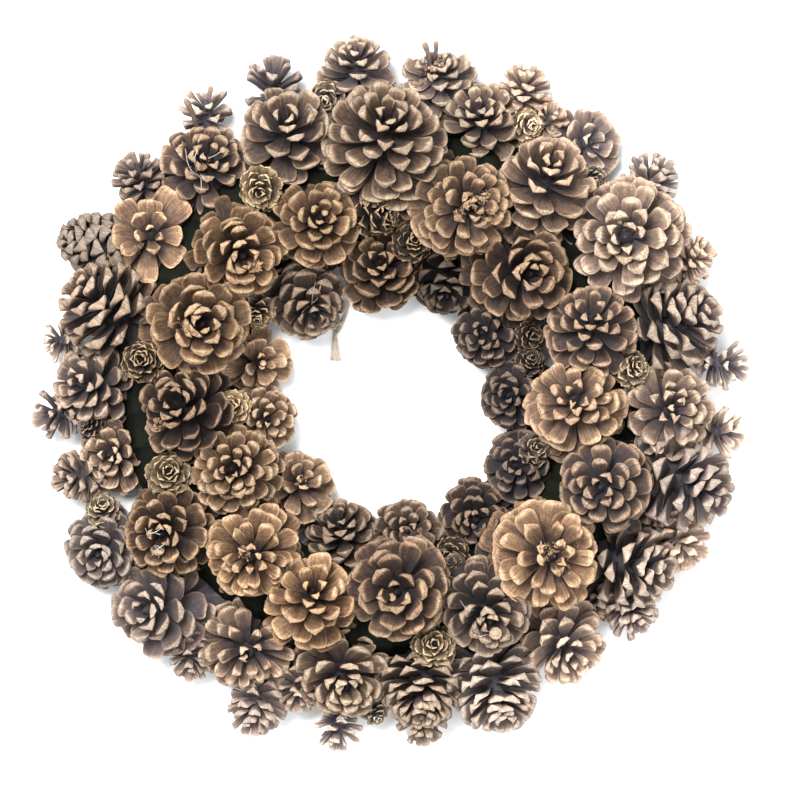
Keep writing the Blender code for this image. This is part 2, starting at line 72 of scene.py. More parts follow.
# The ring is off the middle of the wreath's outline by this much
RING_LOW, RING_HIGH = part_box("base_ring")
RING_PLACE = np.array(((RING_LOW.x + RING_HIGH.x) / 2, (RING_LOW.y + RING_HIGH.y) / 2, 0.0))

# How cones stand on the ring, as in the part. The shares are of a cone's radius: the height of its
# middle and the reach of its side. The gaps are at its foot and over the table.
MIDDLE_SHARE = 0.62
SIDE_SHARE = 0.92
FOOT_GAP = 0.0020
TABLE_GAP = 0.0008
LEAST_SLIDE_SLOPE = 0.3
SPIN_SEED = 40

# A cone's stem, as in the part: where scales grow, where it begins and ends for the planes between
# cones, and how deep in it the scales have their roots
LOWEST_ROOT = 0.06
ROOT_SPREAD = 0.62
CORE_START = 0.25
CORE_END = 0.60
ROOT_DEPTH = 0.7

# A plane parts each cone from the next, and scales may reach past it: the lowest ones deep, and
# those from INTERLOCK_PLACE up less. A scale keeps at least SHORTEST_SCALE of its length.
OUTLINE_TOP = 0.9
PLANE_DIRECTIONS = 500
DEEP_INTERLOCK = 0.0180
INTERLOCK = 0.0095
INTERLOCK_PLACE = 0.4
SHORTEST_SCALE = 0.42
LEAST_REACH = 1e-6
LEAST_ROOM = 1e-5
NOTHING = 1e-9

# How uneven cones are: one side rises more, all scales below OPENING_PLACE may rise or sink, all
# may be wider, some are broken, and single scales differ by UNEVEN in a kind whose mess is 1
ONE_SIDED_RISE = 9.0
CONE_OPENING = 7.0
OPENING_PLACE = 0.9
CONE_WIDENING = (0.88, 1.12)
BROKEN_ABOVE = 0.90
BROKEN_SHARE = 0.72
UNEVEN = {"long": 0.04, "rise": 4.2, "wide": 0.09, "turn": 0.11}
UNEVEN_THICKNESS = 0.12

# A power that crowds scales near the base, the degrees they roll at most, how shortened ones rise
# and narrow, and the place on a scale where it has its rise
CROWDED_BASE = 1.3
MOST_ROLL = 10.0
SHORTENED_RISE = 22.0
SHORTENED_WIDTH = 0.4
RISE_PLACE = 0.42

# Low scales in the gaps: how many a cone has at most, how near they end to the ring's middle or to
# another cone, and how much darker they are, painted shade for the gaps. GAP_ROOT is how far out and high
# they grow and how thick.
GAP_SCALES = 13
GAP_REACH = 0.026
UNDER_SHARE = 0.95
GAP_SHADE = 0.6
GAP_LENGTH = (0.85, 1.10)
GAP_RISE = (-34, -16)
GAP_WIDTH = (0.75, 1.0)
GAP_SHIFT = 0.3
GAP_ROOT = (0.2, 0.04, 0.14)

# The turn from one scale to the next, the least height over the table, the angle from which edges
# are sharp, and a cone's stalk
GOLDEN_TURN = math.pi * (3.0 - math.sqrt(5.0))
TABLE_CLEARANCE = 0.0004
SHARP_ANGLE = 52
SHORTEST_STALK = 0.001
STALK_RADII = (0.14, 0.10)
STALK_TONE = 0.1

# Shape of each kind of cone. count is how many scales it has, and tall, core_low and core_top are
# its height and the radius of its stem at both ends. shares run from its base, 0, to its tip, 1,
# and length, rise, width and thick are a scale's length, upward angle in degrees, width and
# thickness there. curl is how many degrees a scale bends up on the way out, cup how far its sides
# stand up, as a share of half its width, and keel a power: the higher it is, the flatter the
# scale's back. knob and ruffle are the heights of the knob on its end and of its ripples, and
# mess is how unevenly it grows. Sizes are shares of the cone's radius.
Kind = namedtuple("Kind", (
    "count", "tall", "core_low", "core_top", "shares", "length", "rise", "width", "thick",
    "curl", "cup", "keel", "knob", "ruffle", "mess",
))
EIGHT_SHARES = (0, 0.2, 0.4, 0.55, 0.7, 0.85, 0.93, 1)
SEVEN_SHARES = (0, 0.12, 0.3, 0.55, 0.8, 0.92, 1)
FIVE_SHARES = (0, 0.2, 0.5, 0.8, 1)
KINDS = {
    "open": Kind(
        50, 1.60, 0.30, 0.12, EIGHT_SHARES,
        (0.80, 0.83, 0.82, 0.80, 0.70, 0.58, 0.44, 0.28), (-20, -2, 15, 29, 43, 58, 70, 84),
        (0.44, 0.49, 0.48, 0.43, 0.37, 0.31, 0.25, 0.19),
        (0.09, 0.11, 0.13, 0.15, 0.15, 0.15, 0.14, 0.12),
        22, 0.05, 2.6, 0.020, 0.024, 1.6,
    ),
    "large": Kind(
        66, 1.50, 0.30, 0.12, EIGHT_SHARES,
        (0.78, 0.82, 0.82, 0.80, 0.71, 0.58, 0.44, 0.28), (-20, -2, 14, 28, 42, 57, 70, 84),
        (0.36, 0.40, 0.39, 0.36, 0.33, 0.28, 0.22, 0.17),
        (0.07, 0.08, 0.10, 0.12, 0.13, 0.13, 0.12, 0.10),
        22, 0.05, 2.6, 0.018, 0.024, 1.6,
    ),
    "wide": Kind(
        40, 1.40, 0.26, 0.12, EIGHT_SHARES,
        (0.82, 0.85, 0.83, 0.78, 0.67, 0.52, 0.40, 0.25), (-18, 0, 16, 30, 44, 59, 71, 84),
        (0.50, 0.56, 0.53, 0.47, 0.41, 0.33, 0.26, 0.19),
        (0.07, 0.08, 0.10, 0.12, 0.13, 0.13, 0.12, 0.10),
        20, 0.06, 2.6, 0.018, 0.030, 1.7,
    ),
    "bowl": Kind(
        38, 1.45, 0.30, 0.12, EIGHT_SHARES,
        (0.80, 0.85, 0.87, 0.85, 0.77, 0.63, 0.48, 0.30), (-16, 4, 22, 37, 51, 64, 75, 85),
        (0.50, 0.55, 0.53, 0.48, 0.42, 0.35, 0.28, 0.20),
        (0.07, 0.09, 0.11, 0.13, 0.14, 0.14, 0.13, 0.11),
        26, 0.06, 2.6, 0.018, 0.028, 1.9,
    ),
    "rayed": Kind(
        56, 1.45, 0.30, 0.12, EIGHT_SHARES,
        (0.80, 0.83, 0.84, 0.82, 0.76, 0.64, 0.50, 0.30), (-22, -6, 9, 22, 36, 52, 66, 82),
        (0.54, 0.56, 0.46, 0.34, 0.28, 0.24, 0.21, 0.16),
        (0.08, 0.09, 0.12, 0.14, 0.15, 0.15, 0.14, 0.12),
        18, 0.04, 2.2, 0.022, 0.032, 2.5,
    ),
    "flower": Kind(
        23, 1.15, 0.22, 0.11, (0, 0.2, 0.4, 0.6, 0.8, 0.92, 1),
        (0.88, 0.92, 0.88, 0.70, 0.50, 0.35, 0.24), (-12, 2, 14, 30, 50, 68, 84),
        (0.66, 0.70, 0.64, 0.48, 0.34, 0.25, 0.18), (0.08, 0.09, 0.10, 0.12, 0.12, 0.10, 0.08),
        18, 0.08, 2.6, 0.018, 0.034, 2.2,
    ),
    "side": Kind(
        46, 1.75, 0.30, 0.12, SEVEN_SHARES,
        (0.80, 0.84, 0.84, 0.76, 0.58, 0.44, 0.30), (0, 10, 22, 36, 50, 64, 80),
        (0.44, 0.50, 0.50, 0.45, 0.35, 0.27, 0.20), (0.16, 0.19, 0.21, 0.20, 0.17, 0.14, 0.12),
        20, 0.00, 1.7, 0.030, 0.022, 1.6,
    ),
    "stack": Kind(
        70, 1.70, 0.32, 0.12, SEVEN_SHARES,
        (0.78, 0.82, 0.82, 0.74, 0.58, 0.44, 0.30), (-8, 4, 18, 34, 50, 64, 80),
        (0.42, 0.47, 0.46, 0.42, 0.34, 0.27, 0.20), (0.12, 0.14, 0.16, 0.16, 0.15, 0.13, 0.12),
        20, 0.00, 1.8, 0.026, 0.022, 1.6,
    ),
    "closed": Kind(
        58, 1.75, 0.62, 0.05, (0, 0.15, 0.5, 0.83, 0.93, 1),
        (0.38, 0.43, 0.56, 0.50, 0.45, 0.42), (20, 32, 46, 62, 76, 90),
        (0.48, 0.50, 0.50, 0.44, 0.34, 0.24), (0.24, 0.28, 0.29, 0.25, 0.20, 0.14),
        26, 0.00, 2.2, 0.075, 0.020, 1.2,
    ),
    "finger": Kind(
        40, 1.50, 0.34, 0.16, FIVE_SHARES,
        (0.62, 0.74, 0.80, 0.68, 0.46), (-14, 4, 26, 48, 74), (0.42, 0.46, 0.45, 0.38, 0.28),
        (0.18, 0.21, 0.22, 0.20, 0.17),
        14, 0.00, 2.2, 0.030, 0.036, 2.4,
    ),
    "spoke": Kind(
        26, 1.50, 0.30, 0.14, FIVE_SHARES,
        (0.62, 0.78, 0.88, 0.76, 0.50), (-12, 6, 26, 48, 74), (0.36, 0.40, 0.40, 0.35, 0.26),
        (0.17, 0.20, 0.21, 0.20, 0.17),
        14, 0.00, 2.2, 0.030, 0.036, 3.4,
    ),
    "larch": Kind(
        34, 1.50, 0.38, 0.12, FIVE_SHARES,
        (0.74, 0.82, 0.72, 0.54, 0.30), (-4, 14, 38, 60, 80), (0.66, 0.70, 0.60, 0.46, 0.30),
        (0.050, 0.050, 0.050, 0.045, 0.045),
        -20, 0.40, 2.4, 0.00, 0.075, 1.5,
    ),
}
OPEN_KINDS = ("open", "large", "wide", "bowl", "rayed", "flower", "side", "stack")

# The cones, node by node and in the order they stand round the wreath. node is the number of
# the part's node. x and y are the middle of a cone's outline in the photograph's pixels and
# across its width there. lean is how far its tip turns away from the eye and lean_to the way it
# turns, in degrees, with 0 to the photograph's right and 90 to its top. lift is in millimetres
# above the cone's seat, or for a larch cone above the middle of the first cone of its node. The
# last five rows are small cones that show between larger ones.
Cone = namedtuple("Cone", "node kind x y across lean_to lean lift look")
CONES = [Cone(*row) for row in (
    (1, "open", 206, 167, 92, 65, 20, 0, "brown"),
    (1, "spoke", 207, 113, 54, 95, 65, 0, "outer_haze"),
    (2, "flower", 151, 235, 92, 60, 6, 10, "amber"),
    (2, "finger", 140, 177, 58, 110, 62, 0, "dim"),
    (2, "closed", 95, 244, 80, 165, 56, 0, "ashen"),
    (3, "bowl", 241, 253, 88, 305, 15, 2, "orange"),
    (4, "open", 356, 70, 76, 90, 48, 0, "pale"),
    (4, "larch", 328, 99, 38, 230, 22, 4, "pale"),
    (5, "open", 438, 75, 76, 95, 36, 0, "pale"),
    (6, "open", 480, 122, 86, 100, 28, 0, "pale"),
    (6, "finger", 525, 88, 56, 80, 62, 0, "light"),
    (6, "larch", 528, 126, 36, 350, 25, 0, "lightest"),
    (7, "bowl", 288, 135, 92, 92, 28, 0, "plain"),
    (7, "spoke", 274, 86, 62, 95, 65, 0, "dim"),
    (7, "larch", 263, 188, 46, 250, 16, 2, "bright"),
    (8, "large", 386, 137, 118, 80, 31, 4, "plain"),
    (9, "wide", 319, 221, 86, 50, 10, 0, "orange"),
    (9, "larch", 380, 216, 46, 5, 50, 0, "black"),
    (10, "large", 466, 207, 100, 0, 16, 4, "orange"),
    (11, "bowl", 546, 181, 94, 72, 38, 2, "bright"),
    (12, "flower", 588, 143, 74, 10, 22, 0, "bright"),
    (12, "larch", 594, 180, 28, 290, 28, 10, "pale"),
    (13, "large", 627, 238, 120, 180, 6, 4, "bright"),
    (13, "finger", 652, 180, 60, 50, 62, 0, "cool"),
    (14, "bowl", 524, 273, 96, 350, 16, 0, "russet"),
    (15, "open", 591, 327, 90, 92, 22, 0, "russet"),
    (16, "side", 678, 324, 96, 26, 58, 0, "cool"),
    (16, "finger", 694, 259, 50, 30, 60, 0, "lightest"),
    (16, "spoke", 722, 364, 54, 350, 65, 0, "outer_haze"),
    (17, "rayed", 575, 403, 94, 105, 14, 3, "amber"),
    (18, "rayed", 667, 411, 94, 20, 16, 3, "bright"),
    (18, "larch", 633, 368, 38, 20, 30, 6, "bright"),
    (18, "spoke", 719, 432, 54, 350, 65, 0, "lightest"),
    (19, "open", 603, 486, 94, 190, 8, 2, "brown"),
    (20, "side", 686, 484, 100, 330, 64, 2, "cool"),
    (20, "finger", 680, 544, 60, 290, 58, 0, "lightest"),
    (21, "rayed", 548, 556, 106, 10, 10, 4, "amber"),
    (22, "side", 634, 566, 90, 350, 60, 0, "outer_haze"),
    (22, "finger", 630, 612, 58, 300, 62, 0, "outer_haze"),
    (23, "open", 563, 643, 88, 300, 36, 0, "light"),
    (24, "open", 486, 611, 92, 290, 24, 0, "plain"),
    (25, "stack", 496, 692, 92, 285, 56, 0, "outer_haze"),
    (26, "stack", 422, 688, 88, 270, 56, 0, "pale"),
    (26, "larch", 434, 645, 46, 70, 10, 12, "light"),
    (26, "finger", 421, 720, 58, 270, 62, 0, "pale"),
    (27, "bowl", 399, 589, 100, 220, 8, 4, "russet"),
    (28, "open", 343, 674, 94, 285, 28, 3, "pale"),
    (28, "larch", 376, 713, 30, 300, 45, -10, "outer_haze"),
    (28, "spoke", 338, 729, 46, 265, 65, 0, "outer_haze"),
    (29, "bowl", 313, 597, 88, 90, 20, 0, "amber"),
    (30, "rayed", 248, 646, 98, 290, 20, 0, "bright"),
    (30, "finger", 256, 708, 60, 260, 62, 0, "cool"),
    (30, "finger", 299, 690, 50, 265, 58, 0, "outer_haze"),
    (31, "rayed", 252, 555, 92, 260, 10, -1, "amber"),
    (32, "wide", 168, 531, 90, 200, 12, 0, "brown"),
    (32, "larch", 169, 473, 46, 90, 12, 2, "pale"),
    (33, "wide", 155, 609, 100, 186, 26, 2, "plain"),
    (33, "finger", 191, 657, 50, 270, 60, 0, "cool"),
    (34, "open", 103, 550, 80, 230, 16, 0, "slate"),
    (34, "larch", 103, 508, 36, 90, 30, 2, "pale"),
    (35, "wide", 114, 455, 78, 180, 14, 0, "bright"),
    (35, "finger", 77, 476, 56, 190, 62, 0, "cool"),
    (35, "larch", 90, 427, 28, 140, 50, 2, "dark"),
    (36, "bowl", 182, 408, 90, 135, 20, 4, "dark"),
    (36, "larch", 142, 361, 42, 130, 12, 0, "dark"),
    (37, "open", 92, 386, 86, 170, 28, 2, "plain"),
    (37, "spoke", 59, 412, 54, 190, 62, 0, "dim"),
    (38, "side", 104, 306, 98, 140, 64, 2, "plain"),
    (38, "spoke", 61, 341, 42, 190, 65, 0, "outer_haze"),
    (39, "bowl", 200, 324, 98, 350, 8, 6, "orange"),
    (40, "large", 235, 470, 90, 160, 6, 4, "warm"),
    (41, "wide", 381, 267, 84, 100, 14, 8, "brown"),
    (41, "larch", 413, 242, 40, 40, 12, 14, "black"),
    (42, "side", 447, 281, 74, 270, 40, 0, "deep_shade"),
    (43, "side", 307, 303, 78, 300, 36, 0, "plain"),
    (43, "larch", 257, 313, 38, 270, 40, 6, "light"),
    (44, "flower", 259, 363, 72, 0, 20, 4, "lightest"),
    (45, "open", 264, 419, 68, 0, 12, 7, "light"),
    (45, "larch", 232, 407, 36, 160, 16, 14, "lightest"),
    (46, "flower", 301, 483, 72, 50, 30, 4, "light"),
    (47, "side", 342, 533, 74, 100, 38, 0, "plain"),
    (48, "open", 407, 534, 72, 80, 8, 7, "plain"),
    (49, "open", 476, 517, 72, 270, 8, 6, "dark"),
    (49, "larch", 452, 557, 38, 240, 14, 12, "dark"),
    (50, "open", 519, 466, 74, 170, 12, 7, "dusk"),
    (50, "larch", 536, 449, 36, 50, 16, 10, "plain"),
    (51, "open", 513, 396, 70, 180, 14, 7, "dusk"),
    (51, "larch", 531, 361, 30, 60, 20, 5, "dark"),
    (52, "open", 486, 333, 70, 180, 12, 9, "dusk"),
    (52, "larch", 531, 337, 32, 10, 20, 5, "dark"),
    (22, "finger", 630, 526, 58, 45, 24, -6, "light"),
    (22, "finger", 598, 598, 50, 300, 30, -8, "lightest"),
    (12, "finger", 548, 122, 44, 70, 50, 0, "light"),
    (24, "finger", 560, 600, 46, 20, 10, -10, "light"),
    (16, "finger", 658, 368, 44, 30, 20, -10, "light"),
)]

# The light is strong, so that the table is plain white, and the cones are darker by this
EXPOSURE = 0.75

# How a look changes a cone's colour: a factor on red, green and blue, one on lightness, and
# how fast a scale darkens away from its rim, which is painted shade. Besides the cones' own
# colours, some looks hold painted light: the dark looks paint shade on cones that lie in shade,
# the pale bluish one paints the haze of the outer edge, and the lightest one also paints light on
# a cone that lies low in shade
Look = namedtuple("Look", "colour light fall")
LOOKS = {
    "plain": Look((1.00, 1.00, 1.00), 0.98, 1.20),
    "orange": Look((1.09, 0.98, 0.83), 1.02, 1.00),
    "pale": Look((1.02, 1.02, 0.99), 1.04, 0.90),
    "brown": Look((1.05, 0.96, 0.84), 0.88, 1.45),
    "bright": Look((1.03, 1.00, 0.96), 1.26, 0.90),
    # Painted haze and light on the washed-out cones of the outer edge
    "outer_haze": Look((0.925, 0.965, 1.01), 1.45, 0.90),
    "slate": Look((0.86, 0.93, 1.00), 0.92, 1.15),
    # Paler cones, and painted light on one that lies low in shade
    "lightest": Look((1.04, 1.00, 0.94), 1.80, 0.62),
    "warm": Look((1.08, 1.01, 0.92), 1.12, 0.90),
    "russet": Look((1.09, 0.965, 0.83), 0.98, 1.40),
    # Painted shade for cones that lie in shade, in this look and the next
    "deep_shade": Look((0.97, 0.92, 0.88), 0.38, 2.10),
    "dusk": Look((0.94, 0.90, 0.90), 0.72, 1.90),
    "cool": Look((0.94, 0.965, 0.99), 1.18, 1.00),
    "dim": Look((0.93, 0.93, 0.98), 0.96, 1.25),
    "light": Look((1.04, 1.00, 0.94), 1.55, 0.80),
    "amber": Look((1.10, 0.98, 0.82), 1.30, 0.80),
    # Darker cones, and painted shade on those that lie in shade
    "dark": Look((0.96, 0.87, 0.82), 0.84, 1.90),
    "black": Look((1.08, 0.94, 0.78), 0.88, 3.20),
    "ashen": Look((0.88, 0.91, 0.92), 0.62, 1.10),
}

# Finger cones take the painted shade away from the rim more slowly by this factor, and these kinds keep to
# a part of the tones
FINGER_FALL = 0.70
TONE_RANGE = {"side": (0.06, 0.90), "stack": (0.10, 0.94), "finger": (0.10, 0.84)}

# How grey cones are, partly their own colour and partly painted haze where the light washes out
# the outer cones: all of them, those further out than GREY_FROM, and those on the right. Then
# painted light and shade: how light they are at three distances from the middle, darker inside.
GREY_BASE = 0.06
GREY_OUTSIDE = 0.95
GREY_FROM = 0.115
GREY_OVER = 0.060
GREY_POWER = 1.5
GREY_RIGHT = 1.4
GREY_DRAW = 0.10
GREY_MOST = 0.95
PAINTED_LIGHT_PLACES = (0.075, 0.115, 0.165)
PAINTED_LIGHT_THERE = (0.84, 1.0, 1.27)
LIGHT_DRAW = 0.05

# Threads of dried glue, each through its pixels in turn
Thread = namedtuple("Thread", "node places")
THREADS = [Thread(*row) for row in (
    (1, ((180, 139), (184, 148), (186, 160), (191, 170), (199, 176), (200, 190))),
    (1, ((197, 149), (194, 158), (195, 170))),
    (1, ((222, 149), (214, 154), (207, 157))),
    (1, ((189, 164), (190, 171), (196, 175))),
    (43, ((315, 280), (313, 291), (311, 303))),
    (43, ((320, 285), (317, 297), (311, 303))),
    (43, ((311, 303), (306, 307), (301, 312))),
    (32, ((146, 528), (150, 533), (157, 531), (163, 527))),
    (32, ((148, 537), (154, 532), (161, 534))),
    (32, ((152, 556), (158, 549), (166, 543))),
    (32, ((155, 545), (160, 551), (159, 558))),
    (32, ((150, 548), (157, 545), (165, 550))),
    (24, ((472, 638), (479, 635), (487, 633))),
    (24, ((460, 600), (466, 607), (474, 609))),
)]
THREAD_RADIUS = 0.00019
THREAD_SAG = 0.001
GLUE_OVER = 0.0007
GLUE_TINT = (1.45, 1.80, 2.35)
GLUE_TONE = 0.95

# Broken scales that stand up at a cone's edge, from one pixel to another and so many pixels wide
Twig = namedtuple("Twig", "node x y to_x to_y width")
TWIGS = (
    Twig(5, 430, 66, 424, 42, 7),
    Twig(5, 433, 62, 436, 40, 6),
    Twig(5, 425, 74, 429, 58, 5),
    Twig(5, 438, 70, 445, 54, 5),
    Twig(1, 197, 131, 185, 98, 7),
)
TWIG_DEPTH = 0.002
TWIG_RISE = 0.004
TWIG_BEND = (0.0008, 0.0, 0.0012)
TWIG_THICKNESS = ((0, 0.6, 0.85, 0.95, 1), (0.75, 0.70, 1.0, 0.9, 0.5))
TWIG_TONES = ((0, 0.7, 1), (0.15, 0.35, 0.85))

# Flat round tips of cones' stems, with their radius in pixels, and their outline as shares of it
# and heights in metres
Tip = namedtuple("Tip", "node x y radius")
TIPS = (
    Tip(24, 495, 632, 6.2),
    Tip(27, 392, 596, 4.2),
    Tip(9, 325, 213, 3.4),
    Tip(1, 222, 149, 3.0),
    Tip(44, 262, 363, 3.2),
)
TIP_OUTLINE = (
    (0.60, -0.0060), (0.80, -0.0010), (0.98, 0.0004), (1.00, 0.0010), (0.84, 0.0014),
    (0.64, 0.0010), (0.20, 0.0011),
)
TIP_TONE = 0.90
TIP_LIGHT = 1.1

# Where cones have crumbled: node, x, y and reach in pixels, how many chips lie there, and how
# much of their length the scales that end there have left
Crumbled = namedtuple("Crumbled", "node x y reach chips left")
CRUMBLED = [Crumbled(*row) for row in (
    (10, 470, 203, 9, 26, 0.62),
    (10, 458, 217, 6, 16, 0.75),
    (10, 484, 196, 6, 18, 0.70),
    (10, 489, 219, 9, 22, 0.80),
    (21, 547, 549, 10, 30, 0.60),
    (21, 577, 541, 7, 10, 0.90),
    (21, 563, 566, 9, 12, 0.85),
    (5, 428, 70, 9, 26, 0.65),
    (5, 438, 56, 7, 16, 0.75),
    (5, 436, 46, 15, 10, 0.50),
    (5, 421, 47, 10, 14, 0.55),
    (5, 420, 82, 7, 16, 0.80),
    (5, 456, 50, 9, 12, 0.72),
    (39, 180, 325, 8, 22, 0.70),
    (39, 192, 331, 6, 14, 0.80),
    (36, 161, 424, 7, 20, 0.80),
    (3, 256, 266, 6, 14, 0.85),
    (2, 137, 246, 6, 10, 0.90),
    (31, 247, 552, 8, 18, 0.75),
    (46, 300, 483, 7, 16, 0.80),
    (1, 203, 163, 6, 12, 0.85),
    (13, 622, 226, 5, 8, 0.90),
)]
CRUMBLED_REACH = 1.2

# A chip is a bent splinter: places along it with its width there, and its corners round each. Its
# width and thickness are shares of its length.
CHIP_OUTLINE = ((-0.35, 0.7), (0.1, 1.0), (0.45, 0.75), (0.75, 0.25))
CHIP_CORNERS = ((-1, -1), (1, -1), (1, 1), (-1, 1))
CHIP_LENGTH = 0.0026
CHIP_SIZE = (0.5, 1.3)
CHIP_WIDTH = (0.18, 0.42)
CHIP_THICKNESS = (0.07, 0.16)
CHIP_JITTER = (0.6, 1.1)
CHIP_BEND = 0.12
CHIP_STAND = 0.6
CHIP_TINT = (1.12, 1.00, 0.84)
CHIP_LIGHT = (0.80, 1.1)
CHIP_TONES = (0.92 * 0.7, 0.92)

# Where the twine runs: x, y and height above the table in metres, as in the part
TWINE_THICKNESS = 0.002
TWINE_LONG_WAY = (
    (-0.03017, 0.08482, 0.0058),
    (-0.0290, 0.0816, 0.0034),
    (-0.0272, 0.0768, 0.0015),
    (-0.0250, 0.0700, 0.0011),
    (-0.0226, 0.0625, 0.0011),
    (-0.0208, 0.0545, 0.0011),
    (-0.0203, 0.0469, 0.0011),
    (-0.0213, 0.0404, 0.0011),
    (-0.02306, 0.03556, 0.0011),
)
TWINE_SHORT_WAY = (
    (-0.05548, 0.07098, 0.0058),
    (-0.0534, 0.0682, 0.0034),
    (-0.0502, 0.0642, 0.0015),
    (-0.0455, 0.0585, 0.0011),
    (-0.0405, 0.0520, 0.0011),
    (-0.0355, 0.0450, 0.0011),
    (-0.0312, 0.0393, 0.0011),
    (-0.02792, 0.03515, 0.0011),
)
TWINE_TAIL_WAY = (
    (-0.02658, 0.02962, 0.0011),
    (-0.0270, 0.0262, 0.0011),
    (-0.0271, 0.0217, 0.0011),
    (-0.0267, 0.0172, 0.0011),
)
TWINE_IN_KNOT = ((-0.0250, 0.0327, 0.0011),)

# The knot at the end of the loop
KNOT_MIDDLE = (-0.0259, 0.0331, 0.0025)
KNOT_SIZE = (0.0066, 0.0066, 0.0044)
KNOT_STEPS = 72

# The twine's plies: radius, distance from its middle, the length of one twist, and how many
PLY_RADIUS = 0.00046
PLY_OFFSET = 0.00052
PLY_TWIST = 0.0062
PLY_COUNT = 3

# The loose fibres at the tail's end: they begin FRAY_BACK before it, spread and bow
FRAY_SEED = 77
FRAY_FIBRES = 40
FRAY_BACK = 0.0100
FRAY_REACH = (0.0004, 0.0026)
FRAY_ROUNDING = 0.3
FRAY_START_SPREAD = 0.0008
FRAY_END_SPREAD = 0.0030
FRAY_BOW = 0.0022
FRAY_START_RISE = 0.0003
FRAY_BOW_RISE = 0.0010
FRAY_END_RISE = (-0.0004, 0.0014)
FRAY_RADII = (0.00030, 0.00012)

# The ribbon round the ring, and the ring's length round its section and along its middle
WRAP_TURNS = 46
WRAP_STEPS = 552
WRAP_THICKNESS = 0.0009
WRAP_OVERLAP = 1.12
RING_GIRTH = 0.13
RING_LENGTH = 0.70

# A woody scale from its root to its outer end: place along it, then width, thickness, rise
# of the lip and backward bow of the sides there, and how light its upper and lower faces are.
# Their darkness towards the root and on the lower face is painted shade; the light outer end is
# the scale's own paler colour
WOODY = (
    (0.00, 0.36, 0.30, 0.00, 0.00, 0.00, 0.00),
    (0.20, 0.50, 0.26, 0.00, 0.00, 0.06, 0.00),
    (0.42, 0.78, 0.26, 0.00, 0.00, 0.20, 0.02),
    (0.62, 0.96, 0.34, 0.00, 0.00, 0.33, 0.04),
    (0.78, 1.00, 0.54, 0.00, 0.00, 0.40, 0.10),
    (0.89, 0.95, 0.84, 0.08, 0.00, 0.47, 0.20),
    (0.95, 0.86, 1.00, 0.13, 0.00, 0.74, 0.45),
    (0.985, 0.73, 0.95, 0.02, 0.00, 1.00, 0.75),
    (1.00, 0.58, 0.80, -0.12, 0.00, 1.00, 0.90),
)
# The scales towards a woody cone's tip, which are narrower and thick at the end
FINGER = (
    (0.00, 0.56, 0.40, 0.00, 0.00, 0.00, 0.00),
    (0.20, 0.60, 0.38, 0.00, 0.00, 0.08, 0.03),
    (0.42, 0.70, 0.42, 0.00, 0.00, 0.20, 0.07),
    (0.62, 0.84, 0.52, 0.00, 0.00, 0.33, 0.12),
    (0.78, 0.96, 0.72, 0.02, 0.00, 0.46, 0.20),
    (0.88, 1.00, 0.92, 0.08, 0.00, 0.62, 0.32),
    (0.95, 0.93, 1.00, 0.06, 0.00, 0.90, 0.56),
    (0.985, 0.80, 0.90, -0.04, 0.00, 1.00, 0.80),
    (1.00, 0.62, 0.66, -0.18, 0.00, 1.00, 0.90),
)
# The stout scales of the small outer cones
STUB = (
    (0.00, 0.74, 0.60, 0.00, 0.00, 0.02, 0.02),
    (0.20, 0.78, 0.62, 0.00, 0.00, 0.14, 0.10),
    (0.42, 0.84, 0.68, 0.00, 0.00, 0.28, 0.18),
    (0.62, 0.90, 0.76, 0.00, 0.00, 0.42, 0.28),
    (0.78, 0.96, 0.86, 0.02, 0.00, 0.55, 0.38),
    (0.88, 1.00, 0.96, 0.05, 0.00, 0.68, 0.48),
    (0.95, 0.95, 1.00, 0.04, 0.00, 0.90, 0.62),
    (0.985, 0.84, 0.88, -0.04, 0.00, 1.00, 0.80),
    (1.00, 0.68, 0.66, -0.16, 0.00, 1.00, 0.90),
)
# The thin rounded scales of larch cones
PAPERY = (
    (0.00, 0.40, 1.00, 0.00, 0.00, 0.00, 0.00),
    (0.30, 0.66, 1.00, 0.00, 0.00, 0.10, 0.06),
    (0.55, 0.90, 1.00, 0.00, 0.01, 0.24, 0.16),
    (0.76, 1.00, 1.00, 0.00, 0.03, 0.40, 0.28),
    (0.90, 0.94, 1.00, 0.00, 0.06, 0.62, 0.44),
    (0.97, 0.80, 0.90, 0.00, 0.08, 1.00, 0.70),
    (1.00, 0.62, 0.80, 0.00, 0.10, 1.00, 0.80),
)
# The kinds whose scales have one profile. In the others the woody one turns into the narrow one
# over this stretch of the cone.
ONE_PROFILE = {"larch": PAPERY, "finger": STUB, "spoke": STUB, "closed": WOODY}
NARROWING = (0.35, 0.75)

# Corners of a scale's section, from side to side over its top and back under it, the thickness of
# its edge as a share of its middle's, and the width of the ring on its end
TOP_ACROSS = (-1.0, -0.74, -0.38, 0.0, 0.38, 0.74, 1.0)
BOTTOM_ACROSS = (0.80, 0.0, -0.80)
ACROSS = np.array(TOP_ACROSS + BOTTOM_ACROSS)
IS_TOP = np.arange(len(ACROSS)) < len(TOP_ACROSS)
EDGE_SHARE = 0.24
END_RING = 0.58

# A scale's tone: how much lighter its rim is above and below, which is partly its own paler edge
# and partly a painted highlight, the tones of its end and the random part. The last number is the
# range of the seeds that make each grain differ.
RIM_TOP = 0.50
RIM_LOW = 0.15
END_TONE = 0.96
KNOB_TONE = 0.78
TONE_DRAW = 0.20
MOST_GRAIN_SEED = 900

# What is drawn for each scale, and the seed of the first cone
DRAWS = ("long", "rise", "wide", "turn", "wave", "roll", "skew")
CONE_SEED = 1000

# Directions that no stalk or tube runs along, which their sides are worked out from
STALK_SIDE = (0.37, 0.61, 0.70)
TUBE_SIDE = (0.31, 0.17, 0.93)

# How high the tops of the cones are, about, and a height that nothing reaches
CONE_TOPS = 0.05
OVER_ALL = 0.2
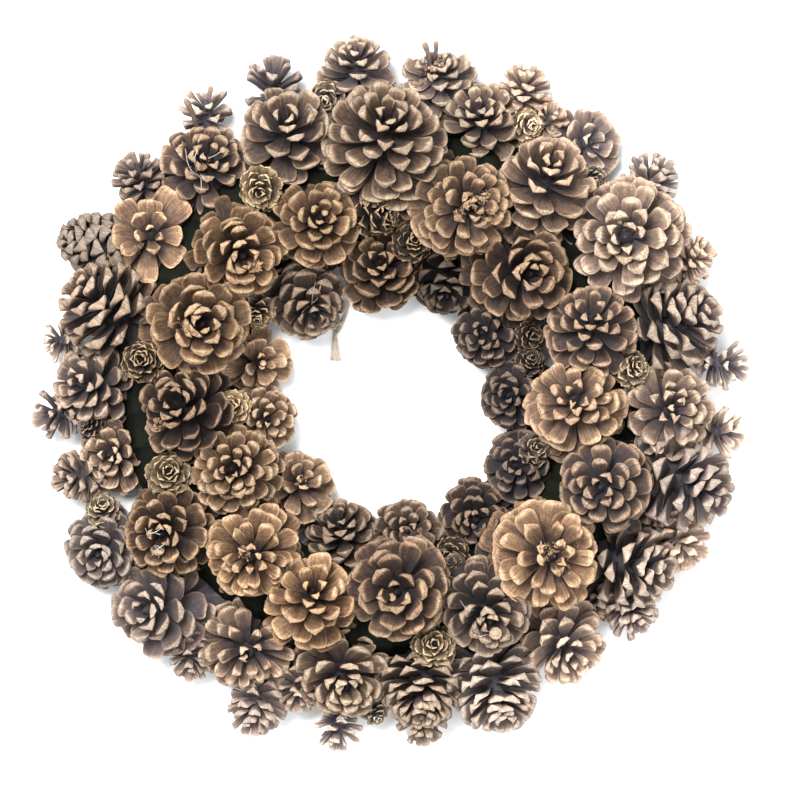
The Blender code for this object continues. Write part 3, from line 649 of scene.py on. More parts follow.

# Colours of the materials as (place, colour) stops, the tint of grey cones, and the painted haze that is
# added to them where the light washes out the outer cones
PINE_STOPS = (
    (0.00, (0.012, 0.008, 0.008)), (0.20, (0.045, 0.028, 0.022)), (0.45, (0.150, 0.095, 0.060)),
    (0.70, (0.300, 0.205, 0.135)), (1.00, (0.475, 0.356, 0.254)),
)
LARCH_STOPS = (
    (0.00, (0.018, 0.012, 0.009)), (0.30, (0.070, 0.048, 0.030)), (0.60, (0.230, 0.166, 0.098)),
    (1.00, (0.560, 0.435, 0.275)),
)
STRIPE_STOPS = ((0.30, (0.46, 0.44, 0.44)), (0.70, (1.28, 1.27, 1.24)))
SPECK_STOPS = ((0.34, (0.50, 0.48, 0.48)), (0.62, (1.20, 1.19, 1.17)))
CRACK_STOPS = ((0.30, (0.45, 0.40, 0.40)), (0.40, (1.0, 1.0, 1.0)))
JUTE_STOPS = ((0.25, (0.31, 0.25, 0.19)), (0.55, (0.52, 0.44, 0.35)), (0.80, (0.70, 0.62, 0.52)))
SEAM_STOPS = (
    (0.0, (0.002, 0.003, 0.002)), (0.16, (0.005, 0.006, 0.004)),
    (0.92, (0.008, 0.009, 0.006)), (1.0, (0.014, 0.015, 0.011)),
)
WEAVE_STOPS = ((0.35, (0.6, 0.6, 0.6)), (0.65, (1.25, 1.25, 1.2)))
PINE_GREY = (0.84, 0.88, 0.95, 1.0)
LARCH_GREY = (0.85, 0.88, 0.90, 1.0)
PAINTED_HAZE = (0.058, 0.056, 0.067, 1.0)

# A mix node's inputs for the factor and two colours, and its output for a colour
MIX_INPUTS = (0, 6, 7)
MIX_OUTPUT = 2

# The table top: how far it goes from the middle, how far under the wreath it lies, and its colour
FLOOR_REACH = 3.0
FLOOR_DROP = 0.0002
FLOOR_COLOUR = (0.90, 0.90, 0.90, 1.0)

# The light from all round, and the lamps, which shine on the wreath's middle
SKY_COLOUR = (0.95, 0.98, 1.0, 1.0)
SKY_STRENGTH = 1.22
Lamp = namedtuple("Lamp", "name place size power")
LAMPS = (
    Lamp("key", (-0.45, 0.60, 1.8), 0.8, 77.0),
    Lamp("fill", (0.9, -0.5, 1.9), 1.4, 18.0),
)


def add_object(name, data):
    added = bpy.data.objects.new(name, data)
    bpy.context.scene.collection.objects.link(added)
    return added


def make_camera():
    """A camera straight above, far enough off to draw the cones almost without perspective."""
    camera = bpy.data.cameras.new("camera")
    camera.angle = 2 * math.atan(PHOTO_SIZE / 2 * PIXEL / EYE_HEIGHT)
    camera.shift_x = (PHOTO_SIZE / 2 - PHOTO_MIDDLE_X) / PHOTO_SIZE
    camera.shift_y = (PHOTO_MIDDLE_Y - PHOTO_SIZE / 2) / PHOTO_SIZE
    camera.clip_end = SIGHT_END
    eye = add_object("camera", camera)
    eye.location = (RING_PLACE[0], RING_PLACE[1], EYE_HEIGHT)
    bpy.context.scene.camera = eye


class Paint:
    """A material, with short ways to add the nodes that its colour and bumps come from."""

    def __init__(self, name, roughness, specular):
        self.material = bpy.data.materials.new(name)
        self.material.use_nodes = True
        self.shader = self.material.node_tree.nodes["Principled BSDF"]
        self.set("Roughness", roughness)
        self.set("Specular IOR Level", specular)

    def set(self, name, value):
        """Give the shader's input a plain value or a node's output."""
        self.give(self.shader.inputs[name], value)

    def give(self, socket, value):
        if isinstance(value, bpy.types.NodeSocket):
            self.material.node_tree.links.new(value, socket)
        else:
            socket.default_value = value

    def node(self, kind, **inputs):
        node = self.material.node_tree.nodes.new(kind)
        for name, value in inputs.items():
            self.give(node.inputs[name], value)
        return node

    def read(self, attribute, output):
        """An attribute of the mesh."""
        node = self.node("ShaderNodeAttribute")
        node.attribute_name = attribute
        return node.outputs[output]

    def ramp(self, factor, stops):
        """The colour that a factor picks from stops."""
        node = self.node("ShaderNodeValToRGB", Fac=factor)
        elements = node.color_ramp.elements
        while len(elements) < len(stops):
            elements.new(0.5)
        for element, (place, colour) in zip(elements, stops):
            element.position = place
            element.color = (*colour, 1.0)
        return node.outputs["Color"]

    def mix(self, how, factor, first, second):
        """Two colours made into one."""
        node = self.node("ShaderNodeMix")
        node.data_type = "RGBA"
        node.blend_type = how
        for index, value in zip(MIX_INPUTS, (factor, first, second)):
            self.give(node.inputs[index], value)
        return node.outputs[MIX_OUTPUT]

    def calculate(self, how, *values):
        node = self.node("ShaderNodeMath")
        node.operation = how
        for socket, value in zip(node.inputs, values):
            self.give(socket, value)
        return node.outputs["Value"]

    def noise(self, place, scale, detail, roughness):
        """Noise at one scale, or at three scales along the three directions of place."""
        if isinstance(scale, tuple):
            place = self.node("ShaderNodeMapping", Vector=place, Scale=scale).outputs["Vector"]
            scale = 1.0
        kind = "ShaderNodeTexNoise"
        return self.node(kind, Vector=place, Scale=scale, Detail=detail, Roughness=roughness).outputs["Fac"]

    def bump(self, height, distance, strength):
        node = self.node("ShaderNodeBump", Height=height, Distance=distance, Strength=strength)
        self.set("Normal", node.outputs["Normal"])


def scale_material(name, stops, grey):
    """Dry cone scales: dark at the root and under the scale, painted shade, light at the rim, partly a
    painted highlight, and finely striped along their length.
    """
    paint = Paint(name, roughness=0.78, specular=0.22)
    grain = paint.read("grain", "Vector")
    place = paint.node("ShaderNodeTexCoord").outputs["Object"]
    stripes = paint.noise(grain, scale=(110.0, 900.0, 1.0), detail=4.0, roughness=0.62)
    cracks = paint.noise(grain, scale=(70.0, 620.0, 2.0), detail=2.0, roughness=0.5)
    blotches = paint.noise(place, scale=260.0, detail=4.0, roughness=0.6)
    specks = paint.noise(place, scale=1100.0, detail=3.0, roughness=0.7)
    blotched = paint.calculate("MULTIPLY_ADD", blotches, 0.50, -0.25)
    colour = paint.ramp(paint.calculate("ADD", paint.read("tone", "Fac"), blotched), stops)
    for strength, marks, mark_stops in (
        (0.85, stripes, STRIPE_STOPS), (0.7, specks, SPECK_STOPS), (0.8, cracks, CRACK_STOPS),
    ):
        colour = paint.mix("MULTIPLY", strength, colour, paint.ramp(marks, mark_stops))
    colour = paint.mix("MULTIPLY", 1.0, colour, paint.read("tint", "Color"))
    # The greyness both greys the colour and adds painted haze that lifts the darks of the outer cones
    grey_and_haze = paint.read("grey", "Fac")
    colour = paint.mix("MIX", grey_and_haze, colour, paint.mix("MULTIPLY", 1.0, colour, grey))
    paint.set("Base Color", paint.mix("ADD", grey_and_haze, colour, PAINTED_HAZE))
    paint.set("Roughness", paint.calculate("MULTIPLY_ADD", stripes, 0.25, 0.62))
    fine = paint.calculate("ADD", stripes, paint.calculate("MULTIPLY", specks, 0.5))
    paint.bump(fine, distance=0.00050, strength=0.75)
    return paint.material


def make_piece(name, material, points, faces, values=None):
    """A smooth-shaded mesh object. values are attributes of its points, numbers or vectors."""
    mesh = bpy.data.meshes.new(name)
    mesh.from_pydata(points.tolist(), [], faces)
    for key, value in (values or {}).items():
        kind, field = ("FLOAT", "value") if value.ndim == 1 else ("FLOAT_VECTOR", "vector")
        mesh.attributes.new(key, kind, "POINT").data.foreach_set(field, value.astype(np.float32).ravel())
    mesh.materials.append(material)
    mesh.shade_smooth()
    return add_object(name, mesh)


def settle(piece, slot, *nodes):
    """Fix a piece to the wreath and let it stand for its nodes of the part."""
    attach(piece, "root")
    if nodes:
        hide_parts(*nodes)


class Shape:
    """Points, faces and point values of one mesh, gathered part by part."""

    def __init__(self):
        self.points = []
        self.faces = []
        self.values = {}
        self.count = 0

    def add(self, points, faces, **values):
        self.points.append(points)
        self.faces += [tuple(self.count + corner for corner in face) for face in faces]
        for key, value in values.items():
            self.values.setdefault(key, []).append(value)
        self.count += len(points)

    def joined(self):
        values = {key: np.concatenate(parts) for key, parts in self.values.items()}
        return np.concatenate(self.points), self.faces, values


def colouring(count, tone, tint, grey):
    """Values for this many points of a cone: tone may be one number or one for each."""
    return {"tone": np.full(count, tone), "tint": np.tile(tint, (count, 1)), "grey": np.full(count, grey)}


def add_plain(shape, points, faces, tone, tint, grey):
    shape.add(points, faces, grain=points.copy(), **colouring(len(points), tone, tint, grey))


def turns_round(count):
    return np.linspace(0, 2 * math.pi, count, endpoint=False)


def circle(radius, height, count):
    """Points round the Z axis."""
    return [(radius * math.cos(turn), radius * math.sin(turn), height) for turn in turns_round(count)]


def side_faces(rows, sides):
    """Faces between rows of points that each go round once."""
    faces = []
    for low in range(0, (rows - 1) * sides, sides):
        for side in range(sides):
            after = (side + 1) % sides
            faces.append((low + side, low + after, low + sides + after, low + sides + side))
    return faces


def closed_faces(rows, sides):
    """The same faces with one at each end."""
    last = (rows - 1) * sides
    return side_faces(rows, sides) + [tuple(reversed(range(sides))), tuple(range(last, last + sides))]


def round_body(outline, sides):
    """A closed body turned about the Z axis from (radius, height) pairs."""
    points = [point for radius, height in outline for point in circle(radius, height, sides)]
    return np.array(points), closed_faces(len(outline), sides)


def smooth_way(points, steps):
    """Points read from a smooth curve through the way's own points."""
    ends = [2 * Vector(points[0]) - Vector(points[1]), 2 * Vector(points[-1]) - Vector(points[-2])]
    knots = [ends[0], *(Vector(point) for point in points), ends[1]]
    way = []
    for before, here, there, beyond in zip(knots, knots[1:], knots[2:], knots[3:]):
        for share in np.arange(steps) / steps:
            way.append(0.5 * (
                2 * here + (there - before) * share
                + (2 * before - 5 * here + 4 * there - beyond) * share ** 2
                + (3 * here - before - 3 * there + beyond) * share ** 3
            ))
    way.append(Vector(points[-1]))
    return np.array(way)


def runs_along(way):
    """How far along a way each of its points is."""
    return np.concatenate([[0.0], np.cumsum(np.linalg.norm(np.diff(way, axis=0), axis=1))])


def axes_along(way):
    """Two directions across a way at each of its points, which turn with it but don't twist."""
    tangents = np.gradient(way, axis=0)
    tangents /= np.linalg.norm(tangents, axis=1, keepdims=True)
    side = np.cross(tangents[0], TUBE_SIDE)
    axes = []
    for tangent in tangents:
        side = side - tangent * (side @ tangent)
        side = side / np.linalg.norm(side)
        axes.append((side, np.cross(tangent, side)))
    return axes


def add_tube(shape, way, radii, sides, seed=0.0, **values):
    """A closed tube along a way. Its grain is the place along and round it, and it has these values."""
    points = []
    grain = []
    for middle, radius, run, (side, other) in zip(way, radii, runs_along(way), axes_along(way)):
        for turn in turns_round(sides):
            points.append(middle + radius * (side * math.cos(turn) + other * math.sin(turn)))
            grain.append((run, turn * radius, seed))
    values = {key: np.repeat(value, sides, axis=0) for key, value in values.items()}
    shape.add(np.array(points), closed_faces(len(way), sides), grain=np.array(grain), **values)


def table_point(x, y, height):
    """The place over the table that the photograph shows at x, y, for this height."""
    scale = PIXEL * (1.0 - height / EYE_HEIGHT)
    return Vector(((x - PHOTO_MIDDLE_X) * scale, (PHOTO_MIDDLE_Y - y) * scale, height))


def seen_pixels(places):
    """Where the photograph shows places given in metres."""
    scale = PIXEL * (1.0 - places[:, 2] / EYE_HEIGHT)
    return np.stack([PHOTO_MIDDLE_X + places[:, 0] / scale, PHOTO_MIDDLE_Y - places[:, 1] / scale], axis=1)


def tip_direction(cone):
    """The way the cone's tip points."""
    lean = math.radians(cone.lean)
    towards = math.radians(cone.lean_to)
    flat = math.sin(lean)
    return Vector((flat * math.cos(towards), flat * math.sin(towards), math.cos(lean)))


def seat_height(cone, radius):
    """How high a cone's middle sits when it lies round the ring, clear of the table."""
    spot = table_point(cone.x, cone.y, 0.0)
    reach = RING_HEIGHT / 2 + FOOT_GAP + radius * MIDDLE_SHARE
    outward = (math.hypot(spot.x, spot.y) - RING_MIDDLE_RADIUS) / reach
    arc = reach * math.sqrt(max(0.0, 1.0 - outward * outward))
    lean = math.radians(cone.lean)
    own_depth = radius * (MIDDLE_SHARE * math.cos(lean) + SIDE_SHARE * math.sin(lean))
    return max(RING_HEIGHT / 2 + arc, own_depth + TABLE_GAP) + cone.lift / 1000.0


def root_places(kind, radius, share):
    """How far from the axis and how high scales grow, at these shares of the stem's length."""
    core = radius * (kind.core_low + (kind.core_top - kind.core_low) * share)
    return core * ROOT_DEPTH, radius * kind.tall * (LOWEST_ROOT + ROOT_SPREAD * share)


def outline_points(kind, radius):
    """Points on the outline that the cone's scales reach to, in its own axes."""
    points = [(0.0, 0.0, 0.0), (0.0, 0.0, radius * kind.tall * OUTLINE_TOP)]
    for share, length, rise in zip(kind.shares, kind.length, kind.rise):
        core, root = root_places(kind, radius, share)
        slope = math.radians(rise)
        reach = core + radius * length * math.cos(slope)
        height = root + radius * length * math.sin(slope)
        points += circle(reach, height, count=12)
    return np.array(points)


Placed = namedtuple("Placed", "cone kind radius foot frame core_low core_top height outline")


def place_cone(cone, index, host_height, ring_tree):
    """Where a cone sits: it stands on the ring, turned about its own axis by a seeded draw."""
    kind = KINDS[cone.kind]
    radius = cone.across * PIXEL / 2
    axis = tip_direction(cone)
    spin = np.random.default_rng(SPIN_SEED + index).uniform(0, 2 * math.pi)
    side = axis.orthogonal().normalized()
    start = side * math.cos(spin) + axis.cross(side) * math.sin(spin)
    axes = np.array([start, axis.cross(start), axis])
    height = seat_height(cone, radius)
    if cone.kind == "larch":
        height = host_height + cone.lift / 1000.0
    foot = np.array(table_point(cone.x, cone.y, height)) - axes[2] * radius * MIDDLE_SHARE
    spot, normal, _, _ = ring_tree.find_nearest(Vector(foot))
    clear = (Vector(foot) - spot).dot(normal)
    if clear < FOOT_GAP:
        foot += axes[2] * (FOOT_GAP - clear) / max(axis.dot(normal), LEAST_SLIDE_SLOPE)
    length = radius * kind.tall
    core_low = foot + axes[2] * length * CORE_START
    core_top = foot + axes[2] * length * CORE_END
    outline = foot + outline_points(kind, radius) @ axes
    return Placed(cone, kind, radius, foot, axes, core_low, core_top, height, outline)


def place_all(ring_tree):
    """Every cone where it sits, with the first of each node as the host of the rest."""
    all_placed = []
    hosts = {}
    for index, cone in enumerate(CONES):
        host = hosts.get(cone.node)
        placed = place_cone(cone, index, host.height if host else 0.0, ring_tree)
        hosts.setdefault(cone.node, placed)
        all_placed.append(placed)
    return all_placed, hosts


def sphere_directions(count):
    """Directions spread evenly over a sphere."""
    rows = np.arange(count) + 0.5
    up = 1.0 - 2.0 * rows / count
    flat = np.sqrt(1.0 - up * up)
    return np.stack([flat * np.cos(GOLDEN_TURN * rows), flat * np.sin(GOLDEN_TURN * rows), up], axis=1)


def dividing_plane(first, second, directions):
    """The plane that best parts two cones: its direction, its place and the gap there."""
    first_far = (first.outline @ directions.T).max(axis=0)
    second_near = (second.outline @ directions.T).min(axis=0)
    gaps = second_near - first_far
    best = int(np.argmax(gaps))
    direction = directions[best]
    middle_first = float((first.core_low + first.core_top) @ direction) / 2
    middle_second = float((second.core_low + second.core_top) @ direction) / 2
    first_reach = max(first_far[best] - middle_first, LEAST_REACH)
    second_reach = max(middle_second - second_near[best], LEAST_REACH)
    place = first_far[best] + gaps[best] * first_reach / (first_reach + second_reach)
    return direction, place, float(gaps[best])


def cell_planes(all_placed):
    """For each cone, the planes round its room: the table's, and with 1 those between it and another."""
    directions = sphere_directions(PLANE_DIRECTIONS)
    planes = [[(np.array((0.0, 0.0, -1.0)), -TABLE_GAP, 0.0)] for _ in all_placed]
    for index, first in enumerate(all_placed):
        for other in range(index + 1, len(all_placed)):
            second = all_placed[other]
            if np.linalg.norm(first.core_low - second.core_low) > 2 * (first.radius + second.radius):
                continue
            direction, place, gap = dividing_plane(first, second, directions)
            if gap < DEEP_INTERLOCK:
                planes[index].append((direction, place, 1.0))
                planes[other].append((-direction, -place, 1.0))
    return planes


def room_left(placed, ends, shares, planes):
    """How much of the way from the cone's axis to each end lies inside the cone's own room."""
    beyond = np.interp(shares, (0.0, INTERLOCK_PLACE), (DEEP_INTERLOCK, INTERLOCK))
    along = placed.core_top - placed.core_low
    share = np.clip(((ends - placed.core_low) @ along) / (along @ along), 0.0, 1.0)
    roots = placed.core_low + share[:, None] * along
    rays = ends - roots
    room = np.full(len(ends), np.inf)
    for direction, place, is_shared in planes:
        towards = rays @ direction
        left = np.maximum(place + is_shared * beyond - roots @ direction, LEAST_ROOM)
        room = np.where(towards > NOTHING, np.minimum(room, left / np.maximum(towards, NOTHING)), room)
    return room


def profiles(kind_name, shares):
    """The profile of each scale, one row per scale: woody ones become narrow towards the tip."""
    base = ONE_PROFILE.get(kind_name, WOODY)
    tip = ONE_PROFILE.get(kind_name, FINGER)
    narrow = np.interp(shares, NARROWING, (0.0, 1.0))[None, :, None]
    return np.array(base).T[:, None, :] * (1 - narrow) + np.array(tip).T[:, None, :] * narrow


def scale_faces(stations):
    """Faces of one scale: its sides, two rings of its outer end, and its root."""
    ring = len(ACROSS)
    last = stations * ring
    end = last + ring
    fan = [(last + corner, last + (corner + 1) % ring, end) for corner in range(ring)]
    return side_faces(stations + 1, ring) + fan + [tuple(reversed(range(ring)))]


def curled_line(kind, along, length, rise):
    """The curved middle of each scale: how far out and how high it is at its stations."""
    middles = (along[:, 1:] + along[:, :-1]) / 2
    slope = np.radians(rise[:, None] + kind.curl * (middles - RISE_PLACE))
    run = np.diff(along, axis=1) * length[:, None]
    zero = np.zeros((len(rise), 1))
    out = np.concatenate([zero, np.cumsum(np.cos(slope) * run, axis=1)], axis=1)
    up = np.concatenate([zero, np.cumsum(np.sin(slope) * run, axis=1)], axis=1)
    return out[:, :, None], up[:, :, None]


def section_heights(kind, table, radius, rows, wave):
    """How far a scale's surface stands over its middle line, and how thick the scale is there."""
    along, _, thick, lip = table[:4, :, :, None]
    square = ACROSS ** 2
    depth = EDGE_SHARE + (1 - EDGE_SHARE) * (1 - np.abs(ACROSS) ** kind.keel)
    full = rows.heavy[:, None, None] * thick
    ripple = np.sin(ACROSS * 3.4 + wave * 6.28) * np.sin(along * 3.0 + wave * 4.0)
    top = full * lip * (1 - 0.5 * square)
    top = top + kind.cup * rows.wide[:, None, None] / 2 * square * np.clip(along * 1.4 - 0.2, 0, 1)
    top = top + kind.ruffle * radius * ripple * along
    return np.where(IS_TOP, top, top - full * depth), full * depth


def section_backs(kind, table, long, thickness, wave, skew):
    """How far the surface lies back from its station, with bowed, skewed and ragged ends."""
    along = table[0][:, :, None]
    bow = table[4][:, :, None]
    back = bow * long * ACROSS ** 2
    back = back + np.where(IS_TOP, 0.0, 0.25 * thickness * np.clip(along * 3 - 2, 0, 1))
    back = back + 0.05 * long * skew * ACROSS * along ** 4
    return back + 0.6 * kind.ruffle * long * np.sin(ACROSS * 5 + wave * 9.0) * along ** 6


def turned_scales(points, rows, roll):
    """Scales rolled about their length and set round the stem at their roots."""
    roll = np.radians(roll)[:, None]
    x = points[..., 0] + rows.root_radius[:, None]
    y = points[..., 1] * np.cos(roll)
    z = points[..., 2] + points[..., 1] * np.sin(roll) + rows.root_height[:, None]
    cosine = np.cos(rows.turn)[:, None]
    sine = np.sin(rows.turn)[:, None]
    return np.stack([x * cosine - y * sine, x * sine + y * cosine, z], axis=-1)


def build_scales(placed, table, rows, draws):
    """Points of all scales of a cone, shaped (scale, point, 3)."""
    kind = placed.kind
    along = table[0]
    out, up = curled_line(kind, along, rows.length, rows.rise)
    angle = np.radians(rows.rise[:, None] + kind.curl * (along - RISE_PLACE))[:, :, None]
    long = rows.length[:, None, None]
    wave = draws["wave"][:, None, None]
    skew = draws["skew"][:, None, None]
    height, thickness = section_heights(kind, table, placed.radius, rows, wave)
    back = section_backs(kind, table, long, thickness, wave, skew)
    x = out - np.sin(angle) * height - np.cos(angle) * back
    z = up + np.cos(angle) * height - np.sin(angle) * back
    y = ACROSS * rows.wide[:, None, None] / 2 * table[1][:, :, None]
    y = y + 0.06 * long * skew * along[:, :, None] ** 2
    points = np.stack([x, y + 0.0 * x, z], axis=-1)
    end = angle[:, -1, 0]
    tangent = np.stack([np.cos(end), 0.0 * end, np.sin(end)], axis=-1)[:, None, :]
    centre = points[:, -1].mean(axis=1, keepdims=True)
    knob = kind.knob * placed.radius
    inner = centre + END_RING * (points[:, -1] - centre) + tangent * knob * 0.55
    points = np.concatenate([points.reshape(len(end), -1, 3), inner, centre + tangent * knob], axis=1)
    points = turned_scales(points, rows, draws["roll"])
    return placed.foot + points @ placed.frame


Scales = namedtuple("Scales", "share root_radius root_height length rise wide heavy turn")


def new_draws(count, rng):
    return {name: rng.uniform(-1, 1, count) for name in DRAWS}


def scale_rows(kind, radius, draws):
    """Root, length, rise, width, thickness and turn of each scale, from the base to the tip."""
    share = ((np.arange(kind.count) + 0.5) / kind.count) ** CROWDED_BASE
    root_radius, root_height = root_places(kind, radius, share)
    change = {name: most * kind.mess * draws[name] for name, most in UNEVEN.items()}
    length = radius * np.interp(share, kind.shares, kind.length) * (1 + change["long"])
    rise = np.interp(share, kind.shares, kind.rise) + change["rise"]
    wide = radius * np.interp(share, kind.shares, kind.width) * (1 + change["wide"])
    heavy = radius * np.interp(share, kind.shares, kind.thick) * (1 + UNEVEN_THICKNESS * draws["skew"])
    turn = GOLDEN_TURN * np.arange(kind.count) + change["turn"]
    rise = rise + ONE_SIDED_RISE * np.sin(turn + math.pi * draws["wave"][0]) * np.sin(math.pi * share)
    length = np.where(draws["skew"] > BROKEN_ABOVE, length * BROKEN_SHARE, length)
    return Scales(share, root_radius, root_height, length, rise, wide, heavy, turn)


def gap_rows(kind, radius, rng):
    """The long low scales that droop from the base of a cone over the ring."""
    count = GAP_SCALES
    length = radius * rng.uniform(*GAP_LENGTH, count)
    rise = rng.uniform(*GAP_RISE, count)
    turn = 2 * math.pi * (np.arange(count) + rng.uniform(-GAP_SHIFT, GAP_SHIFT, count)) / count
    wide = radius * kind.width[0] * rng.uniform(*GAP_WIDTH, count)
    root_radius, root_height, heavy = (np.full(count, radius * share) for share in GAP_ROOT)
    return Scales(np.zeros(count), root_radius, root_height, length, rise, wide, heavy, turn)


def of_node(details, node):
    return [detail for detail in details if detail.node == node]


def broken_length(placed, ends):
    """How much of its length each scale has left where the cone has crumbled."""
    left = np.ones(len(ends))
    if placed.cone.kind in OPEN_KINDS:
        for spot in of_node(CRUMBLED, placed.cone.node):
            away = np.linalg.norm(seen_pixels(ends) - (spot.x, spot.y), axis=1)
            left = np.where(away < spot.reach * CRUMBLED_REACH, spot.left, left)
    return left


def finished_scales(placed, table, rows, draws, rng):
    """Points, faces, tones and grain of the scales."""
    points = build_scales(placed, table, rows, draws)
    count, size = points.shape[:2]
    ring = len(ACROSS)
    along, *_, light_top, light_low = table
    # Tones: darker towards the root and on the lower face, painted shade, and lighter side edges near the
    # end, partly a painted highlight
    tone = np.where(IS_TOP, light_top[:, :, None], light_low[:, :, None])
    rim = np.clip(along * 2.2 - 1.1, 0, 1)[:, :, None]
    tone = tone + np.where(IS_TOP, RIM_TOP, RIM_LOW) * np.abs(ACROSS) ** 8 * rim
    tone = tone.reshape(count, -1) * (1 + TONE_DRAW * draws["wave"][:, None])
    tone = np.concatenate([tone, np.full((count, ring), END_TONE), np.full((count, 1), KNOB_TONE)], axis=1)
    spread = np.concatenate([np.tile(ACROSS, along.shape[1]), ACROSS * END_RING, [0.0]])
    reach = np.concatenate([np.repeat(along, ring, axis=1), np.ones((count, ring + 1))], axis=1)
    seed = rng.uniform(0, MOST_GRAIN_SEED, count)[:, None] + 0.0 * reach
    grain = np.stack([rows.length[:, None] * reach, rows.wide[:, None] / 2 * spread, seed], axis=-1)
    one = scale_faces(along.shape[1])
    faces = [tuple(size * scale + corner for corner in face) for scale in range(count) for face in one]
    return points.reshape(-1, 3), faces, np.clip(tone, 0, 1).reshape(-1), grain.reshape(-1, 3)


def make_scales(placed, planes, rng):
    """All scales of a cone, each shortened and raised where it would reach too far."""
    draws = new_draws(placed.kind.count, rng)
    draws["roll"] = draws["roll"] * MOST_ROLL
    rows = scale_rows(placed.kind, placed.radius, draws)
    opening = rng.uniform(-CONE_OPENING, CONE_OPENING) * (rows.share < OPENING_PLACE)
    rows = rows._replace(rise=rows.rise + opening, wide=rows.wide * rng.uniform(*CONE_WIDENING))
    table = profiles(placed.cone.kind, rows.share)
    ends = build_scales(placed, table, rows, draws)[:, -1]
    kept = np.clip(room_left(placed, ends, rows.share, planes), SHORTEST_SCALE, 1.0)
    rows = rows._replace(
        length=rows.length * kept * broken_length(placed, ends),
        rise=rows.rise + (1 - kept) * SHORTENED_RISE,
        wide=rows.wide * kept ** SHORTENED_WIDTH,
    )
    return finished_scales(placed, table, rows, draws, rng)


def make_gap_scales(placed, others, rng):
    """The low scales of a cone that end over the ring or under another cone."""
    draws = new_draws(GAP_SCALES, rng)
    rows = gap_rows(placed.kind, placed.radius, rng)
    table = profiles("open", rows.share)
    ends = build_scales(placed, table, rows, draws)[:, -1]
    kept = np.abs(np.hypot(ends[:, 0], ends[:, 1]) - RING_MIDDLE_RADIUS) < GAP_REACH
    for other in others:
        away = np.linalg.norm(ends[:, :2] - (other.core_low + other.core_top)[:2] / 2, axis=1)
        kept |= away < other.radius * UNDER_SHARE
    rows = Scales(*(values[kept] for values in rows))
    draws = {name: values[kept] for name, values in draws.items()}
    return finished_scales(placed, table[:, kept], rows, draws, rng)


def core_body(kind, radius):
    """The stem inside a cone, which its scales grow from."""
    length = radius * kind.tall
    low = radius * kind.core_low
    top = radius * kind.core_top
    return round_body((
        (low * 0.5, -0.02 * length), (low * 0.95, 0.02 * length), (low, 0.10 * length),
        (top * 1.1, 0.62 * length), (top * 0.6, 0.72 * length), (top * 0.15, 0.78 * length),
    ), sides=12)


def stalk(start, end, thick_start, thick_end):
    """A short tapered stem between two places."""
    way = end - start
    length = np.linalg.norm(way)
    along = way / length
    side = np.cross(along, STALK_SIDE)
    side = side / np.linalg.norm(side)
    axes = np.array([side, np.cross(along, side), along])
    points, faces = round_body((
        (thick_start, 0.0), (thick_start * 0.9, length * 0.4), (thick_end, length * 0.8),
        (thick_end * 1.2, length),
    ), sides=8)
    return start + points @ axes, faces


def surface_at(tree, x, y):
    """The place on a cone's surface that the photograph shows at one pixel, and its normal."""
    over = table_point(x, y, CONE_TOPS)
    return tree.ray_cast(Vector((over.x, over.y, OVER_ALL)), Vector((0, 0, -1)))[:2]


def chip_points(hit, normal, rng):
    """Corners of a splinter that stands or lies any way up on a surface."""
    way = Vector(rng.normal(size=3)) + normal * CHIP_STAND
    way.z = abs(way.z)
    way.normalize()
    side = way.orthogonal().normalized()
    side.rotate(Quaternion(way, rng.uniform(0, math.pi)))
    flat = way.cross(side)
    length = CHIP_LENGTH * rng.uniform(*CHIP_SIZE)
    wide = length * rng.uniform(*CHIP_WIDTH)
    thick = length * rng.uniform(*CHIP_THICKNESS)
    points = []
    for along, share in CHIP_OUTLINE:
        bend = flat * (length * CHIP_BEND * along * along)
        for across, up in CHIP_CORNERS:
            out = way * length * along * rng.uniform(*CHIP_JITTER)
            points.append(hit + out + side * across * wide * share + flat * up * thick * share + bend)
    return np.array(points)


def add_chips(shape, tree, node, grey, rng):
    """Splinters lying on a cone where it has crumbled."""
    faces = closed_faces(len(CHIP_OUTLINE), len(CHIP_CORNERS))
    for spot in of_node(CRUMBLED, node):
        for _ in range(spot.chips):
            away = spot.reach * math.sqrt(rng.uniform(0, 1))
            turn = rng.uniform(0, 2 * math.pi)
            hit, normal = surface_at(tree, spot.x + away * math.cos(turn), spot.y + away * math.sin(turn))
            if hit is None:
                continue
            points = chip_points(hit, normal, rng)
            tint = np.array(CHIP_TINT) * rng.uniform(*CHIP_LIGHT) * EXPOSURE
            add_plain(shape, points, faces, rng.uniform(*CHIP_TONES), tint, grey)


def add_threads(shape, tree, node):
    """Thin threads of dried glue that lie over a cone's scales."""
    for thread in of_node(THREADS, node):
        places = [surface_at(tree, x, y)[0] for x, y in thread.places]
        places = [place for place in places if place is not None]
        if len(places) < 2:
            continue
        heights = np.array([place.z for place in places]) + GLUE_OVER
        heights[1:-1] = np.maximum(heights[1:-1], (heights[:-2] + heights[2:]) / 2 - THREAD_SAG)
        points = [(place.x, place.y, height) for place, height in zip(places, heights)]
        way = smooth_way(points, steps=6)
        colours = colouring(len(way), GLUE_TONE, np.array(GLUE_TINT) * EXPOSURE, 0.0)
        add_tube(shape, way, np.full(len(way), THREAD_RADIUS), sides=5, **colours)


def add_twigs(shape, tree, node, tint, grey):
    """Broken scales that stand up from a cone's edge, knobbed at their free end."""
    for twig in of_node(TWIGS, node):
        root = surface_at(tree, twig.x, twig.y)[0]
        if root is None:
            continue
        end = table_point(twig.to_x, twig.to_y, root.z + TWIG_RISE)
        middle = (root + end) / 2 + Vector(TWIG_BEND)
        way = smooth_way([root - Vector((0, 0, TWIG_DEPTH)), middle, end], steps=5)
        along = np.linspace(0, 1, len(way))
        radii = twig.width * PIXEL / 2 * np.interp(along, *TWIG_THICKNESS)
        tones = np.interp(along, *TWIG_TONES)
        add_tube(shape, way, radii, sides=7, **colouring(len(way), tones, tint, grey))


